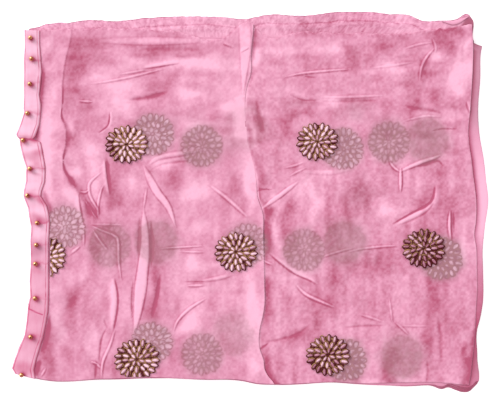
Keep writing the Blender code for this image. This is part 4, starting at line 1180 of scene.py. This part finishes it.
spread = np.arange(RIBBON_ACROSS + 1) / RIBBON_ACROSS
profile = RIBBON_LEVEL + RIBBON_SWELL * np.sin(math.pi * spread)
profile = profile + HEM_RISE * peak(spread - HEM_PLACE, HEM_PLACE)
profile = profile + HEM_RISE * peak(1 - spread - HEM_PLACE, HEM_PLACE)
profile = profile - RIBBON_EDGE_DROP * ease((0.06 - spread) / 0.06)
ribbon_rows = [RibbonRow(*row) for row in RIBBON_ROWS]
ribbon_lines = []
for upper, lower in zip(ribbon_rows, ribbon_rows[1:]):
    fall = (upper.left_y + upper.right_y - lower.left_y - lower.right_y) / 2
    steps = max(2, round(fall / RIBBON_STEP))
    for step in range(steps + (lower is ribbon_rows[-1])):
        ribbon_lines.append(ribbon_line(upper, lower, step / steps, steps))
points, ribbon_tone = (np.stack(values) for values in zip(*ribbon_lines))
x, y = points[:, :, 0], points[:, :, 1]
wander = 0.02 * crumple(x, y, 14.0, 133)
stitches = peak(spread - SEWN_LEFT[0], SEWN_LEFT[1]) + peak(spread - SEWN_RIGHT[0], SEWN_RIGHT[1])
stitches = stitches + peak(spread - SEWN_MIDDLE[0] - wander, SEWN_MIDDLE[1])
stitches = stitches * (0.8 + 0.4 * crumple(x, y, 5.0, 134))
flat_x, flat_y = x.ravel(), y.ravel()
patch_tone, patch_mauve = lay_patches(flat_x, flat_y, RIBBON_PATCHES)
near, along, aside = beside_line(flat_x, flat_y, points_along(RIBBON_SEAM), 3.0)
patch_tone[near] -= SEAM_DARKNESS * peak(aside, SEAM_WIDTH)
# Each bead's painted shadow on the ribbon, a little below and to the right of it
for number in range(1, BEAD_COUNT + 1):
    low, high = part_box(f"bead_{number:02d}")
    seat = (low + high) / 2 / MM + Vector(BEAD_SHADE_SHIFT)
    patch_tone -= BEAD_SHADE * peak(np.hypot(flat_x - seat.x, flat_y - seat.y), BEAD_SHADE_REACH)
tone = ribbon_tone + patch_tone.reshape(x.shape)
marks = {"tone": tone, "stitch": stitches, "mauve": patch_mauve.reshape(x.shape)}
marks = {mark: values[:, ::-1] for mark, values in marks.items()}
ribbon = make_cloth("satin_end_ribbon", points[:, ::-1], marks)
thicken = ribbon.modifiers.new("thickness", "SOLIDIFY")
thicken.thickness = RIBBON_THICKNESS * MM
thicken.offset = -1.0
select_only(ribbon)
bpy.ops.object.modifier_apply(modifier=thicken.name)


def satin(name):
    """Smooth satin ribbon: long faint threads, soft folds in painted shade and sewn lines along the hems.
    """
    material, tree, shader = new_material(name, Roughness=0.42, Specular_IOR_Level=0.25)
    threads = noise(tree, 260.0, stretch=(1, 0.12, 1), Detail=3.0)
    cloudy = noise(tree, 90.0, Detail=2.0)
    stitch = painted(tree, "stitch")
    uneven = (threads - 0.5) * 0.3 + (cloudy - 0.5) * 0.3
    # The painted tone brings the painted shade of creases and edges and painted light on slopes
    dark = (0.1 - painted(tree, "tone") * 0.75 + uneven).clamp()
    cloth = mix_colours(tree, dark, SATIN_LIGHT, SATIN_DARK)
    cloth = mix_colours(tree, painted(tree, "mauve").clamp(), cloth, SATIN_MAUVE)
    sewn = mix_colours(tree, (stitch * 0.8 * (0.6 + cloudy * 0.8)).clamp(), cloth, SATIN_THREAD)
    relief = fine_relief(tree, threads - stitch * 1.5, 0.3, 0.0005)
    feed(tree, shader, Base_Color=sewn, Normal=relief)
    return material


ribbon.data.materials.append(satin("satin_ribbon"))
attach(ribbon, "root")
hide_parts("end_ribbon")

# The beads: thirteen round gold beads 6 mm across, drilled through and sewn down one by one
# along the ribbon, each in one of its creases.
BEAD_RADIUS = 3.0
BEAD_HOLE = 1.5
# Painted light on the beads: lighter gold on the side turned towards this direction, deeper and redder in
# painted shade on the rest
BEAD_LIT = (-0.5, 0.6, 0.62)
BEAD_UNLIT = 0.18
BEAD_LIT_MOST = 1.2
HOLE_TAPER = (0.92, 0.92, 0.55)
HOLE_SIDES = 8
GOLD = (0.88, 0.46, 0.20, 1)
GOLD_DEEP = (0.25, 0.02, 0.02, 1)
# Painted shade of the drilled hole
HOLE_DARK = (0.03, 0.012, 0.01, 1)


def gold(name):
    """Polished gold-coloured metal, deeper and redder in painted shade on the side away from the light,
    in random worn spots, and in the hole.
    """
    material, tree, shader = new_material(name, Metallic=1.0, Coat_Weight=0.3, Coat_Roughness=0.1)
    worn = noise(tree, 380.0, Detail=3.0)
    deeper = (1.0 - painted(tree, "lit") + (worn - 0.5) * 1.6).clamp()
    colour = mix_colours(tree, deeper, GOLD, GOLD_DEEP)
    feed(tree, shader, Base_Color=colour, Roughness=0.18 + worn * 0.25)
    return material


def thread_hole(name):
    """The drilled hole, painted near black for the shade in it, with the sewing thread deep in it."""
    material, tree, shader = new_material(name, Roughness=0.9)
    fibres = noise(tree, 2500.0)
    feed(tree, shader, Base_Color=mix_colours(tree, (fibres - 0.5).clamp(), HOLE_DARK, GOLD_DEEP))
    return material


for number in range(1, BEAD_COUNT + 1):
    node = f"bead_{number:02d}"
    low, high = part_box(node)
    middle = (low + high) / 2
    bpy.ops.object.select_all(action="DESELECT")
    bpy.ops.mesh.primitive_uv_sphere_add(
        segments=20, ring_count=12, radius=BEAD_RADIUS * MM, location=middle
    )
    bead = bpy.context.object
    bead.name = f"gold_bead_{number:02d}"
    bpy.ops.object.mode_set(mode="EDIT")
    bpy.ops.mesh.select_all(action="DESELECT")
    shape = bmesh.from_edit_mesh(bead.data)
    for point in shape.verts:
        point.select = abs(point.co.z) > 0.999 * BEAD_RADIUS * MM
    shape.select_flush(True)
    bpy.ops.mesh.bevel(offset=BEAD_HOLE * MM, segments=1, affect="VERTICES")
    bpy.ops.mesh.select_all(action="DESELECT")
    shape = bmesh.from_edit_mesh(bead.data)
    for face in shape.faces:
        face.select = len(face.verts) > HOLE_SIDES
    bpy.ops.mesh.extrude_region_move(TRANSFORM_OT_translate={"value": (0, 0, 0)})
    bpy.ops.transform.resize(value=HOLE_TAPER, center_override=middle)
    bpy.ops.object.mode_set(mode="OBJECT")
    bpy.ops.object.transform_apply(location=True, rotation=True, scale=True)
    bpy.ops.object.shade_smooth_by_angle(angle=math.radians(50))
    # Painted light and shade: how much each point faces the key light
    lit = bead.data.attributes.new("lit", "FLOAT", "POINT")
    for point, value in zip(bead.data.vertices, lit.data):
        facing = (point.co - Vector(middle)).normalized().dot(Vector(BEAD_LIT).normalized())
        value.value = BEAD_UNLIT + (BEAD_LIT_MOST - BEAD_UNLIT) * max(0.0, facing) ** 3
    bead.data.materials.append(gold(f"gold_{number:02d}"))
    bead.data.materials.append(thread_hole(f"bead_hole_{number:02d}"))
    for face in bead.data.polygons:
        face.material_index = int(len(face.vertices) > HOLE_SIDES)
    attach(bead, "root")
    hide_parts(node)

# The embroidered flowers: three rings of pointed padded petals of lilac-pink satin thread,
# each outlined by a dull gold cord, on a stiff ground sewn to the top layer.
FLOWER_LOW = 10.95
PETAL_LONG = 5.0
PETAL_BROAD = 2.7
PETAL_RISE = 1.25
CORD_RADIUS = 0.5
CORD_GAP = 0.25
PETAL_LEVEL = 0.3
# The two steps of a petal's padding: how much narrower along and across, and how much higher
PETAL_STEPS = ((0.9, 0.84, 0.55), (0.8, 0.36, 0.45))
# Rings of petals from the outside in: number, distance from the middle and size
FLOWER_RINGS = ((19, 0.79, 1.0), (13, 0.49, 0.94), (7, 0.22, 0.8))
OUTER_RING = 0.7
GROUND_SIDES = 40
GROUND_RINGS = ((0.88, 0.0), (0.88, 0.35), (0.5, 0.45))
# Flowers that are cut off: a place on the cut, and the side that goes
FLOWER_CUTS = {5: ((0, -217.8, 0), (0, -1, 0)), 7: ((-249.3, 0, 0), (-1, 0, 0))}
# Thread colours: the petals' from painted shade, also the dark ground, to painted glints, and the cord's
# from lit gold to painted shade
PETAL_LIGHT = (0.80, 0.53, 0.62, 1)
PETAL_MID = (0.38, 0.15, 0.215, 1)
PETAL_DARK = (0.085, 0.006, 0.012, 1)
CORD_GOLD = (0.48, 0.265, 0.125, 1)
CORD_SHADE = (0.085, 0.009, 0.01, 1)
GROUND_TONE = -1.1
GROUND_CORD = 0.3
# Each flower's lightness, and from where, in degrees, and how strongly its outer petals are painted in
# shade
FLOWER_LIGHTNESS = (0.36, 0.1, 0.08, -0.38, 0.12, -0.12, 0.32)
FLOWER_SHADES = ((190, 1.3), (190, 0.5), (205, 0.4), (290, 0.5), (200, 0.3), (230, 0.6), (200, 0.3))
RIDGE_ASIDE = 0.28
# How strongly petals and cords are painted lighter on the side facing the light and darker on the side
# away from it
PETAL_FACING = 0.6
CORD_FACING = 0.8
PETAL_CHANCE = (-0.5, 0.35)
CORD_CHANCE = (-0.6, 0.6)


def pointed(angle, long_half, broad_half):
    """A point on a pointed oval."""
    return long_half * math.cos(angle), broad_half * math.sin(angle) * abs(math.sin(angle)) ** 0.25


def model_petal():
    """One padded petal: a pointed oval raised in two steps."""
    bpy.ops.object.select_all(action="DESELECT")
    bpy.ops.mesh.primitive_circle_add(vertices=12, radius=1.0, fill_type="NGON")
    petal = bpy.context.object
    for point in petal.data.vertices:
        angle = math.atan2(point.co.y, point.co.x)
        point.co.x, point.co.y = pointed(angle, PETAL_LONG, PETAL_BROAD)
    bpy.ops.object.mode_set(mode="EDIT")
    bpy.ops.mesh.select_all(action="SELECT")
    for long_shrink, broad_shrink, rise in PETAL_STEPS:
        bpy.ops.mesh.extrude_region_move(TRANSFORM_OT_translate={"value": (0, 0, rise * PETAL_RISE)})
        bpy.ops.transform.resize(value=(long_shrink, broad_shrink, 1.0))
    bpy.ops.mesh.poke()
    bpy.ops.object.mode_set(mode="OBJECT")
    return petal


def model_cord():
    """The cord round one petal."""
    bpy.ops.object.select_all(action="DESELECT")
    bpy.ops.mesh.primitive_torus_add(
        major_segments=14, minor_segments=4, major_radius=1.0, minor_radius=0.1
    )
    cord = bpy.context.object
    for point in cord.data.vertices:
        angle = math.atan2(point.co.y, point.co.x)
        outwards = (math.hypot(point.co.x, point.co.y) - 1.0) / 0.1 * CORD_RADIUS
        x, y = pointed(angle, PETAL_LONG + CORD_GAP + outwards, PETAL_BROAD + CORD_GAP + outwards)
        point.co = (x, y, PETAL_LEVEL + (point.co.z / 0.1 + 1.0) * CORD_RADIUS)
    return cord


def mesh_arrays(piece):
    """A piece's points and faces, after which the piece is removed."""
    points = np.array([tuple(point.co) for point in piece.data.vertices])
    faces = [list(face.vertices) for face in piece.data.polygons]
    bpy.data.objects.remove(piece)
    return points, faces


def embroidery(name):
    """Satin thread petals with painted glints and painted light and shade on their sides, dull gold cord
    lit on one side and in painted shade on the other, and dark thread between them.
    """
    material, tree, shader = new_material(name, Roughness=0.45, Specular_IOR_Level=0.1)
    threads = noise(tree, 900.0, Detail=2.0)
    strands = noise(tree, 420.0, Detail=2.0)
    tone = painted(tree, "tone") + (threads - 0.5) * 0.9 + (strands - 0.5) * 0.8
    satin_thread = mix_colours(tree, tone.clamp(), PETAL_MID, PETAL_LIGHT)
    satin_thread = mix_colours(tree, (0.0 - tone).clamp(), satin_thread, PETAL_DARK)
    # The cord is gold where lit and dark in painted shade, with dark strands at random
    cord_shade_and_twist = (0.55 - painted(tree, "tone") * 0.6 + (strands - 0.5) * 3.5).clamp()
    cord = mix_colours(tree, cord_shade_and_twist, CORD_GOLD, CORD_SHADE)
    colour = mix_colours(tree, painted(tree, "cord").clamp(), satin_thread, cord)
    feed(tree, shader, Base_Color=colour, Normal=fine_relief(tree, threads, 0.5, 0.0003))
    return material


def flower_ground(flower):
    """The stiff ground under the petals: a low disc, a little domed."""
    angles = 2 * math.pi * np.arange(GROUND_SIDES) / GROUND_SIDES
    rings = []
    for radius, height in GROUND_RINGS:
        x = radius * flower.half_width * np.cos(angles)
        y = radius * flower.half_height * np.sin(angles)
        rings.append(np.stack([x, y, height + 0 * angles], 1))
    faces = []
    for low in (0, GROUND_SIDES):
        high = low + GROUND_SIDES
        for index in range(GROUND_SIDES):
            after = (index + 1) % GROUND_SIDES
            faces.append([low + index, low + after, high + after, high + index])
    faces.append([2 * GROUND_SIDES + index for index in range(GROUND_SIDES)])
    faces.append(list(range(GROUND_SIDES - 1, -1, -1)))
    return np.concatenate(rings), faces


def thread_tone(shape, lean, outermost, shadow, cord):
    """How light the thread of a petal, or of its cord, is at each of its points: painted light on the
    side facing the light and on the ridge, painted shade on the far side.
    """
    along, aside = shape[:, 0] / PETAL_LONG, shape[:, 1] / PETAL_BROAD
    facing = 0.7 * aside * (math.sin(lean) + math.cos(lean))
    facing = facing + 0.35 * along * (math.sin(lean) - math.cos(lean))
    if cord:
        return CORD_FACING * facing - 0.8 * (outermost * np.maximum(along, 0)) ** 2 - shadow
    raised = shape[:, 2] / PETAL_RISE
    tone = -0.85 + 0.75 * raised + 0.75 * np.maximum(raised - 0.6, 0) / 0.4
    return tone + PETAL_FACING * facing * (1.0 - 0.3 * raised) - shadow * (1.2 - 0.6 * raised)


petal_points, petal_faces = mesh_arrays(model_petal())
cord_points, cord_faces = mesh_arrays(model_cord())
petal_top = petal_points[:, 2] > 0.8 * PETAL_RISE


def make_flower(number, flower):
    """One flower, with its petals a little uneven as hand-guided stitching leaves them."""
    chance = np.random.RandomState(200 + number)
    lightness = FLOWER_LIGHTNESS[number - 1]
    shade_from, shade = math.radians(FLOWER_SHADES[number - 1][0]), FLOWER_SHADES[number - 1][1]
    shapes = [(*flower_ground(flower), GROUND_TONE, GROUND_CORD)]
    for petals, share, size in FLOWER_RINGS:
        outermost = share > OUTER_RING
        for petal in range(petals):
            angle = 2 * math.pi * (petal + 0.5 * (petals % 2)) / petals + math.radians(flower.turn)
            angle += chance.uniform(-0.05, 0.05)
            lean = angle + chance.uniform(-0.14, 0.14) + 0.12
            reach = share * (1.0 + chance.uniform(-0.025, 0.025))
            grow = size * chance.uniform(0.9, 1.06)
            roll = RIDGE_ASIDE * math.sin(math.radians(135) - lean) + chance.uniform(-0.2, 0.2)
            middle_x = reach * flower.half_width * math.cos(angle)
            middle_y = reach * flower.half_height * math.sin(angle)
            shadow = outermost * shade * max(0.0, math.cos(angle - shade_from)) ** 2
            rolled = petal_points[:, 1] + PETAL_BROAD * roll * petal_top
            for shape, faces, aside, cord in (
                (petal_points, petal_faces, rolled, 0), (cord_points, cord_faces, cord_points[:, 1], 1),
            ):
                x = middle_x + (shape[:, 0] * math.cos(lean) - aside * math.sin(lean)) * grow
                y = middle_y + (shape[:, 0] * math.sin(lean) + aside * math.cos(lean)) * grow
                tone = lightness + chance.uniform(*(CORD_CHANCE if cord else PETAL_CHANCE))
                tone = tone + thread_tone(shape, lean, outermost, shadow, cord)
                shapes.append((np.stack([x, y, shape[:, 2] + PETAL_LEVEL], 1), faces, tone, cord))
    faces = []
    count = 0
    for shape, shape_faces, tone, cord in shapes:
        faces.extend([[index + count for index in face] for face in shape_faces])
        count += len(shape)
    marks = {
        "tone": np.concatenate([np.broadcast_to(tone, len(shape)) for shape, _, tone, _ in shapes]),
        "cord": np.concatenate([np.full(len(shape), float(cord)) for shape, _, _, cord in shapes]),
    }
    points = np.concatenate([shape[0] for shape in shapes]) + (flower.x, flower.y, FLOWER_LOW)
    return build_piece(f"embroidered_flower_{number:02d}", points, faces, marks)


def cut_flower(piece, place, outwards):
    """Cuts a flower off along a line and closes the cut."""
    select_only(piece)
    place = [value * MM for value in place]
    bpy.ops.object.mode_set(mode="EDIT")
    bpy.ops.mesh.select_all(action="SELECT")
    bpy.ops.mesh.bisect(plane_co=place, plane_no=outwards, clear_outer=True, use_fill=True)
    bpy.ops.object.mode_set(mode="OBJECT")


for number, flower in enumerate(FLOWERS, start=1):
    piece = make_flower(number, flower)
    if number in FLOWER_CUTS:
        cut_flower(piece, *FLOWER_CUTS[number])
    select_only(piece)
    bpy.ops.object.shade_smooth_by_angle(angle=math.radians(60))
    piece.data.materials.append(embroidery(f"embroidery_{number:02d}"))
    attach(piece, "root")
    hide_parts(f"rosette_{number:02d}")

# The studio: a plain white floor, an even white surround, one soft light from the upper
# left, and a camera that looks straight down.
FLOOR_SIZE = 12.0
FLOOR_LEVEL = -0.3
FLOOR_WHITE = (0.9, 0.9, 0.9, 1)
FLOOR_FLECK = (0.85, 0.85, 0.85, 1)
FLOOR_GLOW = 0.4
SURROUND_STRENGTH = 0.95
KEY_STRENGTH = 2.3
KEY_SPREAD = 28.0
KEY_FROM = (-0.62, 0.55, 0.56)
LENS = 85.0
# The camera's place in metres
CAMERA_PLACE = (0.0, -0.003125, 1.4857)

bpy.ops.object.select_all(action="DESELECT")
bpy.ops.mesh.primitive_plane_add(size=FLOOR_SIZE, location=(0, 0, FLOOR_LEVEL * MM))
floor = bpy.context.object
floor.name = "floor"
bpy.ops.object.transform_apply(location=True)
material, tree, shader = new_material(
    "white_floor", Roughness=0.9, Emission_Color=(1, 1, 1, 1), Emission_Strength=FLOOR_GLOW
)
paper = noise(tree, 30.0)
feed(tree, shader, Base_Color=mix_colours(tree, paper * 0.05, FLOOR_WHITE, FLOOR_FLECK))
floor.data.materials.append(material)

world = bpy.data.worlds.new("surround")
bpy.context.scene.world = world
world.use_nodes = True
background = world.node_tree.nodes["Background"]
background.inputs["Color"].default_value = (1, 1, 1, 1)
background.inputs["Strength"].default_value = SURROUND_STRENGTH
key_lamp = bpy.data.lights.new("key", "SUN")
key_lamp.energy = KEY_STRENGTH
key_lamp.angle = math.radians(KEY_SPREAD)
key = bpy.data.objects.new("key", key_lamp)
key.rotation_euler = Vector(KEY_FROM).to_track_quat("Z", "Y").to_euler()
bpy.context.scene.collection.objects.link(key)

camera_lens = bpy.data.cameras.new("camera")
camera_lens.lens = LENS
camera = bpy.data.objects.new("camera", camera_lens)
camera.location = CAMERA_PLACE
bpy.context.scene.collection.objects.link(camera)
bpy.context.scene.camera = camera
bpy.context.scene.view_settings.view_transform = "Standard"
